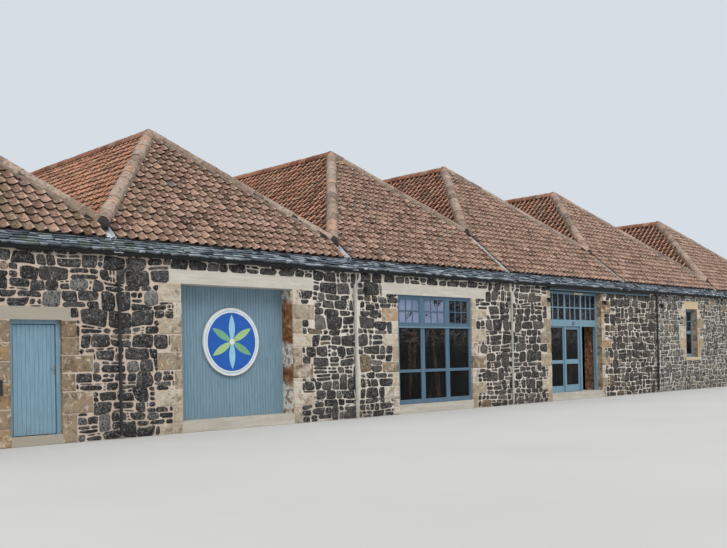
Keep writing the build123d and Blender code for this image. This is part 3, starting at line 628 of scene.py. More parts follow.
def add_box(heap, low, high, bevel=0.0, tones=None):
    """A box with its edges on the low-Y side chamfered by the bevel."""
    (x0, y0, z0), (x1, y1, z1) = low, high
    rings = [[(x0 + b, y, z0 + b), (x1 - b, y, z0 + b), (x1 - b, y, z1 - b), (x0 + b, y, z1 - b)]
             for b, y in ((0, y1), (0, y0 + bevel), (bevel, y0))]
    tones = random_tones(1) if tones is None else tones
    add_rings(heap, rings, tones, (3, 2, 1, 0), (8, 9, 10, 11))


def solid_boxes(node):
    """Lowest and highest corners of each separate solid of a CAD node, from left to right."""
    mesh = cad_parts[node].data
    points = np.round([v.co for v in mesh.vertices], 4)
    keys, merged = np.unique(points, axis=0, return_inverse=True)
    edges = merged.reshape(-1)[np.array([e.vertices[:] for e in mesh.edges])]
    group = np.arange(len(keys))
    before = None
    while before is None or (group != before).any():
        before = group.copy()
        np.minimum.at(group, edges, group[edges].min(axis=1)[:, None])
    solids = [keys[group == label] for label in np.unique(group)]
    boxes = [(solid.min(axis=0), solid.max(axis=0)) for solid in solids]
    return sorted(boxes, key=lambda box: (round(box[0][0], 3), round(box[0][1], 3), box[0][2]))


class Plane:
    """A flat frame in space: a point is u along it, v up it and h out of it."""

    def __init__(self, origin, along, up, out):
        self.origin = np.array(origin, float)
        self.along = np.array(along, float)
        self.up = np.array(up, float)
        self.out = np.array(out, float)

    def place(self, u, v, h):
        u, v, h = (np.asarray(a, float)[..., None] for a in (u, v, h))
        return self.origin + u * self.along + v * self.up + h * self.out


# Walls: rubble and dressed stones laid on the faces of the construction

# A block or an opening is (left, right, bottom, top, depth) along its wall.

class WallFace(Plane):
    """The outer face of a wall: a point on it is s along, z up and d out of it."""

    def __init__(self, x, y, along, out, length):
        super().__init__((x, y, 0), along, UP, out)
        self.length = length

    def span(self, box):
        """A box's stretch along the wall, its heights and its depths, or None off this wall."""
        corners = np.array(box) - self.origin
        s0, s1 = sorted(corners @ self.along)
        d0, d1 = sorted(corners @ self.out)
        if d0 < -WALL_THICKNESS - 0.01 or d1 > 0.2 or s1 - s0 > 5:
            return None
        return s0, s1, box[0][2], box[1][2], d0, d1


FACES = {
    "front": WallFace(LEFT_FACE, FRONT_Y, (1, 0, 0), (0, -1, 0), HOUSE_LENGTH),
    "rear": WallFace(-LEFT_FACE, HALF_DEPTH, (-1, 0, 0), (0, 1, 0), HOUSE_LENGTH),
    "left": WallFace(LEFT_FACE, HALF_DEPTH, (0, -1, 0), (-1, 0, 0), HOUSE_DEPTH),
    "right": WallFace(-LEFT_FACE, FRONT_Y, (0, 1, 0), (1, 0, 0), HOUSE_DEPTH),
}


def spans_on(face, *nodes):
    """Where the solids of some nodes lie on a wall face."""
    found = [face.span(box) for node in nodes for box in solid_boxes(node)]
    return [span for span in found if span]


def openings_on(face):
    """The openings of a wall, each with the depth of its frame."""
    frames = spans_on(face, "narrow_window_sashes", "big_window_frame", "small_door_frame",
                      "cart_panel")
    holes = [(s0, s1, z0, z1, -d1) for s0, s1, z0, z1, d0, d1 in frames]
    for s0, s1, z0, z1, d0, d1 in spans_on(face, "entrance_top_frame")[:1]:
        holes.append((s0, s1, spans_on(face, "entrance_posts")[0][2], z1, -d1))
    return sorted(holes)


def stacked(low, high, heights, rest):
    """Bottoms and tops of stones on each other; the last one takes up a rest too low for one."""
    while low < high:
        top = low + rng.uniform(*heights)
        if high - top < rest:
            top = high
        yield low, top
        low = top


def jamb_block(hole, side, width, low, top):
    """A block beside an opening, on its left (side 0) or on its right (side 1)."""
    s0, s1, z0, z1, depth = hole
    left, right = (s0 - width, s0) if side == 0 else (s1, s1 + width)
    return left, right, low, top, depth


def quoins_beside(hole, bottom):
    """Alternating long and short blocks up both jambs of an opening."""
    blocks = []
    for side in (0, 1):
        first = rng.integers(2)
        for n, (low, top) in enumerate(stacked(bottom, hole[3], QUOIN_HEIGHTS, REST_OF_JAMB)):
            width = QUOIN_WIDTHS[(first + n) % 2] * rng.uniform(0.85, 1.12)
            blocks.append(jamb_block(hole, side, width, low, top))
    return blocks


def listed_quoins(hole, bottom, jambs):
    """Jamb blocks of an opening with given tops and widths."""
    blocks = []
    for side, stones in enumerate(jambs):
        tops = [hole[3]] + [min(top, hole[3]) for top, width in stones[1:]] + [bottom]
        for (_, width), top, low in zip(stones, tops, tops[1:]):
            if width > 0 and top - low > 0.05:
                blocks.append(jamb_block(hole, side, width, low, top))
    return blocks


def corner_quoins(length):
    """Alternating blocks at both ends of a wall: the open air beside them counts as a hole."""
    outside = (length, 0, 0, FACE_TOP, 0.05)
    return [jamb_block(outside, side, CORNER_WIDTHS[(side + n) % 2], low, top)
            for side in (1, 0)
            for n, (low, top) in enumerate(stacked(0.0, FACE_TOP, QUOIN_HEIGHTS, REST_OF_CORNER))]


def half_planes(s0, s1, z0, z1):
    """The four lines round a rectangle, as outward normals and limits."""
    return list(zip(np.array(((-1.0, 0), (1.0, 0), (0, -1.0), (0, 1.0))), (-s0, s1, -z0, z1)))


def clipped(outline, normal, limit):
    """The part of a convex outline that lies on the low side of a line, or None."""
    if outline is None:
        return None
    distance = outline @ normal - limit
    inside = distance <= 0
    if inside.all():
        return outline
    if not inside.any():
        return None
    kept = []
    for n in range(len(outline)):
        if inside[n - 1] != inside[n]:
            share = distance[n - 1] / (distance[n - 1] - distance[n])
            kept.append(outline[n - 1] + (outline[n] - outline[n - 1]) * share)
        if inside[n]:
            kept.append(outline[n])
    return np.array(kept)


def area_of(outline):
    """The area of a flat outline."""
    if outline is None or len(outline) < 3:
        return 0.0
    x, y = outline.T
    return abs(np.dot(x, np.roll(y, -1)) - np.dot(y, np.roll(x, -1))) / 2


def beside(outline, obstacles):
    """What is left of a stone beside the dressed stones and openings, or None."""
    for s0, s1, z0, z1 in obstacles:
        if outline is None:
            return None
        low, high = outline.min(axis=0), outline.max(axis=0)
        if low[0] < s1 and high[0] > s0 and low[1] < z1 and high[1] > z0:
            outline = max((clipped(outline, -normal, -limit)
                           for normal, limit in half_planes(s0, s1, z0, z1)), key=area_of)
            if area_of(outline) < SMALLEST_CUT_STONE:
                return None
    return outline


def bed_joint(level, length):
    """A wandering level joint, as places along the wall and their heights."""
    places = np.arange(-0.6, length + 0.8, 0.12)
    heights = level + rng.uniform(-0.013, 0.013, len(places))
    for wave in (5.0, 1.7):
        turn = rng.uniform(0, 2 * math.pi)
        heights += rng.uniform(0.012, 0.024) * np.sin(places * 2 * math.pi / wave + turn)
    return places, heights


def split_cell():
    """How one building unit is made up: stones as shares of its width and height."""
    draw = rng.random()
    cut = rng.uniform(0.35, 0.65)
    if draw < 0.11:
        return [(0, 1, 0, cut), (0, 1, cut, 1)]
    if draw < 0.19:
        side = rng.uniform(0.3, 0.7)
        return [(0, 1, 0, cut), (0, side, cut, 1), (side, 1, cut, 1)]
    if draw < 0.33:
        edge = rng.uniform(0.2, 0.32)
        levels = np.linspace(0, 1, rng.integers(3, 5))
        cells = [(edge, 1, 0, 1)] + [(0, edge, a, b) for a, b in zip(levels, levels[1:])]
        return cells if rng.random() < 0.5 else [(1 - b, 1 - a, c, d) for a, b, c, d in cells]
    if draw < 0.45:
        slip = rng.uniform(0.68, 0.78)
        side = rng.uniform(0.3, 0.7)
        cells = [(0, 1, 0, slip), (0, side, slip, 1), (side, 1, slip, 1)]
        return cells if rng.random() < 0.5 else [(a, b, 1 - d, 1 - c) for a, b, c, d in cells]
    return [(0, 1, 0, 1)]


def unit_outlines(low, high, start, end, gap, whole=False):
    """Outlines of the stones of one unit between two bed joints and two slanting side joints."""
    width = (end[0] + end[1] - start[0] - start[1]) / 2
    height = np.interp(start[0] + width / 2, *high) - np.interp(start[0] + width / 2, *low)
    cells = split_cell() if not whole and width > 0.17 and height > 0.13 else [(0, 1, 0, 1)]
    found = []
    for p0, p1, q0, q1 in cells:
        inset_p, inset_q = gap * rng.uniform(0.7, 1.3, 2) / (width, max(height, 0.05))
        p0, p1, q0, q1 = p0 + inset_p, p1 - inset_p, q0 + inset_q, q1 - inset_q
        wide, tall = (p1 - p0) * width, (q1 - q0) * height
        if wide < 0.022 or tall < 0.018:
            continue
        across = np.linspace(p0, p1, 3 if wide > 0.17 else 2)
        p = np.concatenate([across, across[::-1]])
        q = np.repeat((q0, q1), len(across))
        below = start[0] + (end[0] - start[0]) * p
        above = start[1] + (end[1] - start[1]) * p
        s = below + (above - below) * q
        z = np.interp(below, *low) * (1 - q) + np.interp(above, *high) * q
        size = min(wide, tall)
        outline = np.stack([s, z], axis=1) + rng.normal(0, 0.06 * size, (len(s), 2))
        if len(across) == 3:
            outline[[1, 4], 1] += (-0.08 * size * rng.random(), 0.08 * size * rng.random())
        found.append(outline)
    return found


def coursed_units(length, size, far_gap):
    """Outlines of stones in rough courses over a whole wall; a few units are two courses high."""
    levels = [-0.02]
    while levels[-1] < FACE_TOP:
        levels.append(levels[-1] + size * rng.uniform(*COURSE_HEIGHTS))
    beds = [bed_joint(level, length) for level in levels + [levels[-1] + 0.2]]
    outlines, taken = [], []
    for n in range(len(levels) - 1):
        course = levels[n + 1] - levels[n]
        rising = []
        place, lean = -0.3 - rng.uniform(0, 0.3), 0.0
        for stop, resume in taken + [(length + 0.2, length + 0.2)]:
            while place < stop - 1e-6:
                width = size * rng.uniform(*STONE_WIDTHS) * (0.7 + 1.6 * course)
                after, next_lean = place + width, rng.uniform(-SIDE_SLANT, SIDE_SLANT)
                if after > stop - 0.09:
                    after, next_lean = stop, 0.0
                gap = np.interp(place, GAP_PLACES, (MORTAR_GAP, far_gap))
                tall = (n + 2 < len(levels) and rng.random() < TALL_SHARE
                        and TALL_WIDTHS[0] < after - place < TALL_WIDTHS[1])
                if tall and levels[n + 2] - levels[n] < TALL_LIMIT * size:
                    outlines += unit_outlines(beds[n], beds[n + 2], (place - lean, place),
                                              (after - next_lean, after), gap, True)
                    rising.append((place, after))
                else:
                    outlines += unit_outlines(beds[n], beds[n + 1], (place - lean, place + lean),
                                              (after - next_lean, after + next_lean), gap)
                place, lean = after, next_lean
            place, lean = resume, 0.0
        taken = rising
    return outlines


def stone_outlines(length, obstacles, size=FAR_WALL_SIZE, far_gap=MORTAR_GAP):
    """Irregular stone outlines that fill a wall face between its dressed stones."""
    kept = []
    for outline in coursed_units(length, size, far_gap):
        for normal, limit in half_planes(0, length, 0.004, FACE_TOP):
            outline = clipped(outline, normal, limit)
        outline = beside(outline, obstacles)
        if area_of(outline) < SMALLEST_STONE:
            continue
        sides = np.linalg.norm(outline - np.roll(outline, 1, axis=0), axis=1)
        outline = outline[sides > 0.01]
        if len(outline) > 2 and np.ptp(outline, axis=0).min() > 0.018:
            kept.append(outline)
    return kept


def rough_corners(outline):
    """Cuts every corner of an outline into two and roughens the points."""
    count = len(outline)
    cut = rng.uniform(0.02, 0.075, (count, 2, 1)) * rng.uniform(0.35, 1, (count, 1, 1))
    points = []
    for n, turn in enumerate((1, -1)):
        side = np.roll(outline, turn, axis=0) - outline
        share = np.clip(cut[:, n] / np.linalg.norm(side, axis=1, keepdims=True), 0.12, 0.38)
        points.append(outline + side * share)
    points = np.stack(points, axis=1).reshape(-1, 2)
    return points + rng.uniform(-0.003, 0.003, points.shape)


def lay_rubble(name, face, outlines, middle_ring=False):
    """Turns outlines into low, rough-faced stones on a wall face."""
    heap = Heap()
    groups = {}
    for outline in outlines:
        points = rough_corners(outline)
        groups.setdefault(len(points), []).append(points)
    for corners, group in sorted(groups.items()):
        flat = np.array(group)
        count = len(flat)
        centre = flat.mean(axis=1, keepdims=True)
        reach = np.ptp(flat, axis=1).min(axis=1)[:, None, None]
        relief = STONE_RELIEF * rng.uniform(0.45, 1.35, (count, 1))

        def ring(shrink, depth):
            inner = centre + (flat - centre) * shrink
            low_limit = np.maximum(inner[..., 1], 0.004)
            return face.place(inner[..., 0], low_limit, np.broadcast_to(depth, flat.shape[:2]))

        edge = 1 - np.minimum(0.012 / reach, 0.3)
        rings = [ring(1.0, -0.003), ring(edge, relief + rng.uniform(-0.003, 0.003, flat.shape[:2]))]
        if middle_ring:
            rings.append(ring(edge * 0.5, relief + rng.uniform(-0.004, 0.009, flat.shape[:2])))
        peak = face.place(centre[..., 0], centre[..., 1],
                          relief + rng.uniform(-0.003, 0.008, (count, 1)))
        points = np.concatenate(rings + [peak], axis=1)
        size = points.shape[1]
        last = np.arange(size - 1 - corners, size - 1)
        fan = np.stack([last, np.roll(last, -1), np.full(corners, size - 1)], axis=1)
        starts = (np.arange(count) * size)[:, None, None]
        tones = rng.random((count, 3))
        tones[:, 2] = (rng.random(count) < 0.035) * rng.uniform(0.4, 0.9, count)
        heap.add(points, np.repeat(tones, size, axis=0),
                 side_quads(corners, len(rings)) + starts, fan + starts)
    heap.build(name, RUBBLE, "rubble_stone")


def add_block(heap, face, block):
    """A dressed stone: its face, its worn arrises and its returns into the wall."""
    s0, s1, z0, z1, depth = block
    gap = rng.uniform(0.004, 0.009, 4)
    s0, s1, z0, z1 = s0 + gap[0], s1 - gap[1], z0 + gap[2], z1 - gap[3]
    corners = np.array([(s0, z0), (s1, z0), (s1, z1), (s0, z1)])
    inwards = np.sign(corners.mean(axis=0) - corners)
    inner = corners + inwards * ARRIS * rng.uniform(0.7, 2.4, (4, 2))
    proud = BLOCK_RELIEF * rng.uniform(0.4, 1.3)
    rings = [face.place(*corners.T, np.full(4, -depth)),
             face.place(*corners.T, np.full(4, proud - ARRIS)),
             face.place(*inner.T, proud + rng.uniform(-0.003, 0.003, 4))]
    add_rings(heap, rings, (rng.random(), rng.random(), 1.0), (8, 9, 10, 11))


def into_opening(block, hole):
    """A jamb block, grown a little into the opening so that it faces the reveal."""
    s0, s1, z0, z1, depth = block
    if abs(s1 - hole[0]) < 1e-6:
        s1 += JAMB_LAP
    else:
        s0 -= JAMB_LAP
    return s0, s1, z0, z1, depth + 0.01


def build_walls():
    """All rubble and dressed stones, wall by wall."""
    heap = Heap()
    for side, face in FACES.items():
        holes = openings_on(face)
        dressings = spans_on(face, "front_lintels", "narrow_window_lintels",
                             "narrow_window_sills", "thresholds", "entrance_beam")
        corner_blocks = corner_quoins(face.length)
        obstacles = [span[:4] for span in dressings + holes + corner_blocks]
        for block in corner_blocks:
            add_block(heap, face, block)
        for number, hole in enumerate(holes):
            sills = [d for d in dressings if abs(d[3] - hole[2]) < 0.01 and d[0] <= hole[0] + 0.01
                     and d[1] >= hole[1] - 0.01]
            wide_sill = sills and sills[0][0] < hole[0] - 0.02
            bottom = hole[2] if wide_sill or hole[2] >= 0.4 else 0.0
            if side == "front" and number < len(FRONT_JAMBS):
                blocks = listed_quoins(hole, bottom, FRONT_JAMBS[number])
            else:
                blocks = quoins_beside(hole, bottom)
            for block in blocks:
                add_block(heap, face, into_opening(block, hole))
                obstacles.append(block[:4])
        if side == "front":
            obstacles += [(x0 - LEFT_FACE, x1 - LEFT_FACE, 0, FACE_TOP) for x0, x1 in POINTED_STRIPS]
            outlines = stone_outlines(face.length, obstacles, 1.0, MORTAR_GAP_FAR)
            for half, on_right in (("left", False), ("right", True)):
                chosen = [o for o in outlines if (o[:, 0].mean() >= face.length / 2) == on_right]
                lay_rubble("rubble_front_" + half, face, chosen, True)
        else:
            lay_rubble("rubble_" + side, face, stone_outlines(face.length, obstacles))
    heap.build("quoins", SANDSTONE, "sandstone", smooth=False)


# Roof coverings

class Slope(Plane):
    """A roof plane over its lower edge; reaches are how far up it goes at marks on that edge."""

    def __init__(self, origin, along, up, marks, reaches):
        super().__init__(origin, along, up, np.cross(along, up))
        self.marks = marks
        self.reaches = reaches

    def reach(self, u):
        return np.interp(u, self.marks, self.reaches)


def ridge_of(k):
    """X of a bay's ridge and its rise over the tile edge."""
    left, right = BAY_EDGES[k], BAY_EDGES[k + 1]
    low_left, low_right = EDGE_RISES[k], EDGE_RISES[k + 1]
    x = (left + right) / 2 + (low_right - low_left) / (2 * math.tan(SIDE_PITCH))
    return x, (math.tan(SIDE_PITCH) * (right - left) + low_left + low_right) / 2


def slope_foot(k, side, inset=GUTTER_HALF):
    """X and rise of the lower edge of a bay's side slope."""
    edge, turn = (k, 1) if side == "left" else (k + 1, -1)
    step = 0 if edge in (0, BAY_COUNT) else inset
    return BAY_EDGES[edge] + turn * step, EDGE_RISES[edge] + step * math.tan(SIDE_PITCH)


def end_slope(k, turn):
    """The hipped end of a bay, at the front (turn 1) or the rear (turn -1)."""
    feet = [slope_foot(k, side) for side in ("left", "right")[::turn]]
    ridge_x, ridge_rise = ridge_of(k)
    (x0, rise0), (x1, rise1) = feet
    sine, cosine = math.sin(FRONT_PITCH), math.cos(FRONT_PITCH)
    return Slope((x0, turn * TILE_EDGE, EAVE_HEIGHT), (turn, 0, 0), (0, turn * cosine, sine),
                 (0, turn * (ridge_x - x0), turn * (x1 - x0)),
                 (rise0 / sine, ridge_rise / sine, rise1 / sine))


def side_slope(k, side):
    """The left or right slope of a bay, from its valley or eave up to the ridge."""
    x, rise = slope_foot(k, side)
    ridge_rise = ridge_of(k)[1]
    half_foot = -TILE_EDGE - rise / math.tan(FRONT_PITCH)
    half_top = -TILE_EDGE - ridge_rise / math.tan(FRONT_PITCH)
    sine, cosine = math.sin(SIDE_PITCH), math.cos(SIDE_PITCH)
    length = (ridge_rise - rise) / sine
    turn = 1 if side == "left" else -1
    return Slope((x, turn * half_foot, EAVE_HEIGHT + rise), (0, -turn, 0), (turn * cosine, 0, sine),
                 (0, half_foot - half_top, half_foot + half_top, 2 * half_foot),
                 (0, length, length, 0))


def roof_point(x, rise, turn=1):
    """A point of the front or rear slope with a given rise over the tile edge."""
    return np.array((x, turn * (TILE_EDGE + rise / math.tan(FRONT_PITCH)), EAVE_HEIGHT + rise))


def lay_pantiles(heap, slope, tile_shade=TILE_SHADE, lip_shade=0.7):
    """Separate S-shaped tiles, cut along the hips, each a little out of place, with painted shade in
    their third tone.
    """
    columns = max(round(slope.marks[-1] / TILE_COVER), 1)
    cover = slope.marks[-1] / columns
    courses = math.ceil(max(slope.reaches) / TILE_GAUGE) + 1
    column, course = np.divmod(np.arange(columns * courses), courses)
    across, height = TILE_PROFILE.T
    u = (column[:, None] + across) * cover
    start = course * TILE_GAUGE - TILE_OVERHANG
    kept = start < slope.reach(u).max(axis=1) - 0.01
    u, start = u[kept], start[kept]
    count = len(u)
    start = start + rng.uniform(-0.007, 0.007, count)
    slipped = rng.random(count) < 0.012
    start = start - slipped * rng.uniform(0.01, 0.03, count)
    bed = TILE_BED + rng.uniform(-0.003, 0.004, (count, 1))
    skew = rng.uniform(-0.006, 0.006, (count, 1)) * (across - 0.5)
    shape = height * rng.uniform(0.9, 1.1, (count, 1)) + bed
    lower = start[:, None] + skew
    upper = lower + TILE_GAUGE + TILE_LAP
    limit = slope.reach(u)
    floor = -TILE_OVERHANG - 0.03
    lower = np.clip(lower, floor, np.maximum(limit, floor))
    upper = np.clip(upper, floor, np.maximum(limit, floor))
    lift = TILE_LIFT * rng.uniform(0.8, 1.15, (count, 1)) * (upper - lower) / (TILE_GAUGE + TILE_LAP)
    edge = slope.place(u, lower, shape + lift)
    top = np.stack([edge, slope.place(u, upper, shape)], axis=1)
    lip = np.stack([slope.place(u, lower + 0.004, shape + lift - TILE_THICKNESS), edge], axis=1)
    tones = random_tones(count)
    # Painted shade in the third tone: the profile's shade on the tile faces, more just below the next
    # tile's lip, and on the lips most under the rolls.
    hollow_shade = lip_shade * HOLLOW_SHADE
    heap.add_grids(top, tones, np.stack([tile_shade, np.minimum(tile_shade + hollow_shade * 0.5, 1)]))
    heap.add_grids(lip, tones, np.stack([np.minimum(np.maximum(hollow_shade * 1.4, tile_shade * 0.8), 1),
                                         np.maximum(hollow_shade, tile_shade * 0.8)]))


def lay_slates(heap, slope, first, last, mitre_start, mitre_end):
    """Courses of riven slates below the tile edge; a mitred end widens down the slope."""
    run = (EAVE_SETBACK + EAVE_OVERHANG) / math.cos(FRONT_PITCH)
    gauge = run / SLATE_COURSES
    base = 0.005 - SLATE_DROP * math.cos(FRONT_PITCH)
    for course in range(SLATE_COURSES + 1):
        low = -run + course * gauge
        row_start = first + (low if mitre_start else 0)
        row_end = last - (low if mitre_end else 0)
        droop, hang = (0.014, 0.024) if course == 0 else (0, 0.006)
        rear = min(low + gauge * 1.5, 0.03)
        u = row_start - rng.uniform(0, 0.15)
        while u < row_end:
            width = rng.uniform(*SLATE_WIDTHS)
            a, b = max(u, row_start) + 0.002, min(u + width, row_end) - 0.002
            u += width
            if b - a < 0.03:
                continue
            thickness = SLATE_THICKNESS * rng.uniform(0.6, 1.5)
            lean = rng.uniform(-0.02, 0.02) if a > first and b < last else 0
            places = np.linspace(a, b, 4)
            slant = rng.uniform(-0.02, 0.02)
            lower = low + rng.uniform(-0.008, 0.008) + np.linspace(-slant, slant, 4)
            lower += rng.uniform(-0.005, 0.005, 4) - droop
            under = base + thickness * rng.uniform(0.4, 1.0)
            front = under + thickness + np.linspace(0, rng.uniform(0, 0.008), 4)
            edge = slope.place(places, lower, front)
            top = np.stack([edge, slope.place(places + lean, np.full(4, rear), base)])
            lip = np.stack([slope.place(places, lower + 0.004, under - hang), edge])
            tone = rng.random()
            heap.add_grids(top, [(tone, rng.random(), 0)])
            # The lower edge of each slate carries painted shade in its third tone, darkest at the
            # bottom.
            heap.add_grids(lip, [(tone, 0.5, 0.95)], np.array([[0.85], [0.1]]))
            for end in (0, -1):
                corners = slope.place([places[end], places[end], places[end] + lean],
                                      [lower[end], lower[end], rear],
                                      [under - 0.004, front[end], base])
                heap.add(corners, (0, 0, 0), triangles=((0, 1, 2),))


def line_frame(start, end):
    """The direction of a line, its level side, its upper side and its length."""
    length = np.linalg.norm(end - start)
    axis = (end - start) / length
    side = np.cross(axis, UP)
    side = side / np.linalg.norm(side)
    return axis, side, np.cross(side, axis), length


def lay_caps(heap, start, end, radius, low_cut=0.0):
    """Half-round tiles along a line, each lapping over the one below it, with painted shade on their
    open ends.
    """
    axis, side, up, length = line_frame(start, end)
    start = start + axis * low_cut
    count = max(round((length - low_cut) / CAP_LENGTH), 1)
    step = (length - low_cut) / count
    angles = np.radians(np.linspace(-98, 98, 13))
    circle = np.outer(np.sin(angles), side) + np.outer(np.cos(angles), up)
    for n in range(count):
        low = start + axis * (n * step - 0.015 + rng.uniform(-0.008, 0.008))
        high = start + axis * ((n + 1) * step + 0.035)
        shift = side * rng.uniform(-0.006, 0.006) + up * (CAP_RAISE + rng.uniform(-0.004, 0.004))
        large = radius * rng.uniform(0.99, 1.03)
        grid = np.stack([low + shift + circle * (large - CAP_WALL), low + shift + circle * large,
                         high + shift + circle * large * 0.955])
        tones = random_tones(1, 0.24)
        # The open end of each cap gets painted shade in its third tone.
        heap.add_grids(grid[:2], tones, np.array([[0.8], [0.6]]))
        heap.add_grids(grid[1:], tones)


def bed_caps(heap, start, end, low_cut):
    """Rough lines of lime bedding along both edges of a run of hip caps."""
    axis, side, up, length = line_frame(start, end)
    count = max(round((length - low_cut) / 0.11), 2)
    line = start + axis * np.linspace(low_cut, length, count)[:, None] + up * 0.030
    for turn in (-1, 1):
        rows = []
        for angle, spread in ((76, 0.95), (90, 1.0), (100, 1.12), (112, 1.14)):
            reach = CAP_RADIUS * (spread + rng.uniform(-0.07, 0.07, (count, 1)))
            turned = math.radians(angle) * turn
            rows.append(line + reach * (math.sin(turned) * side + math.cos(turned) * up))
        heap.add_grids(np.stack(rows), random_tones(1))


def lay_flashing(heap, slope, u, reach):
    """A lead upstand down one side of a valley gutter, from its bottom to over the tiles."""
    places = np.linspace(-0.03, reach, max(round(reach / 0.5), 2))
    low = np.full(len(places), -GUTTER_DROP * math.cos(FRONT_PITCH))
    high = 0.030 + rng.uniform(-0.004, 0.008, len(places))
    wide = 0.008
    heap.add_grids(np.stack([slope.place(np.full(len(places), x), places, h) for x, h in
                             ((u, low), (u, high), (u + wide, high), (u + wide, low))]),
                   random_tones(1))


def eave_strip():
    """The black gutter edge that runs round under the lowest slates, near black so that it also
    stands for the painted shadow under the eaves.
    """
    below, above, proud = EAVE_STRIP
    reach_x, reach_y = -LEFT_FACE + EAVE_OVERHANG, HALF_DEPTH + EAVE_OVERHANG
    under = EAVE_HEIGHT - ROOF_THICKNESS - (EAVE_SETBACK + EAVE_OVERHANG) * math.tan(FRONT_PITCH)
    low, high = under - below, under + above
    far_x, far_y = reach_x + proud, reach_y + proud
    heap = Heap()
    for turn in (-1, 1):
        y0, y1 = sorted((turn * far_y, turn * (reach_y - 0.004)))
        add_box(heap, (-far_x, y0, low), (far_x, y1, high), 0.003)
        x0, x1 = sorted((turn * far_x, turn * (reach_x - 0.004)))
        add_box(heap, (x0, -far_y, low), (x1, far_y, high))
    heap.build("eave_gutter_and_shadow", GUTTER_AND_SHADOW, "cast_iron", smooth=False)


def build_roof():
    """Pantiles, slates, hip tiles and ridge tiles of all the bays."""
    ends, lefts, rights, slates, hips, ridges, flashings, bedding = (Heap() for _ in range(8))
    for k in range(BAY_COUNT):
        for turn in (1, -1):
            slope = end_slope(k, turn)
            length = slope.marks[-1]
            lay_pantiles(ends, slope)
            first_bay, last_bay = (k == 0, k == BAY_COUNT - 1)[::turn]
            lay_slates(slates, slope, 0 if first_bay else -GUTTER_HALF,
                       length + (0 if last_bay else GUTTER_HALF), first_bay, last_bay)
            if not first_bay:
                lay_flashing(flashings, slope, -0.010, slope.reaches[0])
            if not last_bay:
                lay_flashing(flashings, slope, length + 0.002, slope.reaches[-1])
        # The left slopes take the turned painted shade, with little on their lips.
        lay_pantiles(lefts, side_slope(k, "left"), TILE_SHADE_TURNED, 0.1)
        lay_pantiles(rights, side_slope(k, "right"))
        for turn in (1, -1):
            for side in ("left", "right"):
                foot, apex = roof_point(*slope_foot(k, side, 0), turn), roof_point(*ridge_of(k), turn)
                lay_caps(hips, foot, apex, CAP_RADIUS, 0.07)
                bed_caps(bedding, foot, apex, 0.30)
        lay_caps(ridges, roof_point(*ridge_of(k), 1), roof_point(*ridge_of(k), -1), RIDGE_CAP_RADIUS)
    for k, side in ((0, "left"), (BAY_COUNT - 1, "right")):
        slope = side_slope(k, side)
        lay_slates(slates, slope, 0, slope.marks[-1], True, True)
    flashings.build("valley_flashings", LEAD, "lead", smooth=False)
    ends.build("pantiles_ends", END_CLAY, "clay_tile")
    lefts.build("pantiles_left", SIDE_CLAY, "clay_tile")
    rights.build("pantiles_right", SIDE_CLAY, "clay_tile")
    slates.build("eave_slates", SLATE, "slate", smooth=False)
    hips.build("hip_caps", CAP_CLAY, "ridge_clay")
    ridges.build("ridge_caps", RIDGE_CLAY, "ridge_clay")
    bedding.build("cap_bedding", CAP_BEDDING, "ridge_clay")


# Joinery and fittings

def boards(name, low, high, width, material, body=BODY, thickness=0.009):
    """Upright tongued boards on the outer face of a panel."""
    count = round((high[0] - low[0]) / width)
    edges = low[0] + np.arange(count + 1) * (high[0] - low[0]) / count
    heap = Heap()
    for left, right in zip(edges, edges[1:]):
        proud = thickness + rng.uniform(-BOARD_GAP, BOARD_GAP)
        add_box(heap, (left + BOARD_GAP, low[1] - proud, low[2]),
                (right - BOARD_GAP, low[1] + 0.002, high[2]), 0.004)
    heap.build(name, material, "blue_paint", body, smooth=False)


def add_bar(heap, x0, x1, z0, z1, front, proud=BAR_DEPTH, bevel=0.006):
    """A bar on the outer face of a pane."""
    add_box(heap, (x0, front - proud, z0), (x1, front + 0.001, z1), bevel)


def glaze(heap, pane):
    """The inner frame round a pane, and bars that part it in three by two."""
    (x0, front, z0), (x1, _, z1) = pane
    left, right, low, high = x0 + SASH_BORDER, x1 - SASH_BORDER, z0 + SASH_BORDER, z1 - SASH_BORDER
    for sides in ((x0, left, z0, z1), (right, x1, z0, z1), (left, right, z0, low),
                  (left, right, high, z1)):
        add_bar(heap, *sides, front, 0.026, 0.005)
    for n in (1, 2):
        x = left + (right - left) * n / 3
        add_bar(heap, x - BAR_WIDTH / 2, x + BAR_WIDTH / 2, low, high, front)
    z = (low + high) / 2
    add_bar(heap, left, right, z - BAR_WIDTH / 2, z + BAR_WIDTH / 2, front, BAR_DEPTH - 0.002)


def window_bars():
    """Bars and mouldings of the big window and of the entrance screen."""
    heap = Heap()
    panes = [pane for pane in solid_boxes("big_window_glass") if pane[0][2] > TOP_LIGHTS]
    for pane in panes:
        glaze(heap, pane)
    heap.build("big_window_bars", WINDOW_BLUE, "window_paint", smooth=False)
    (low_x, front, _), (high_x, _, _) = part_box("big_window_frame")
    rail = min(pane[0][2] for pane in panes)
    slab("big_window_drip", (low_x + 0.004, high_x - 0.004), (front - 0.022, front + 0.002),
         (rail - 0.100, rail - 0.062), SASH_BLUE, "window_paint", bevel=0.008)
    heap = Heap()
    for (x0, front, z0), (x1, _, z1) in solid_boxes("entrance_glass"):
        if z0 > TOP_LIGHTS:
            for n in (1, 2):
                x = x0 + (x1 - x0) * n / 3
                add_bar(heap, x - 0.016, x + 0.016, z0, z1, front, 0.024)
            add_bar(heap, x0, x1, *TOP_LIGHT_BAR, front)
    heap.build("entrance_bars", ENTRANCE_BLUE, "light_blue_paint", smooth=False)


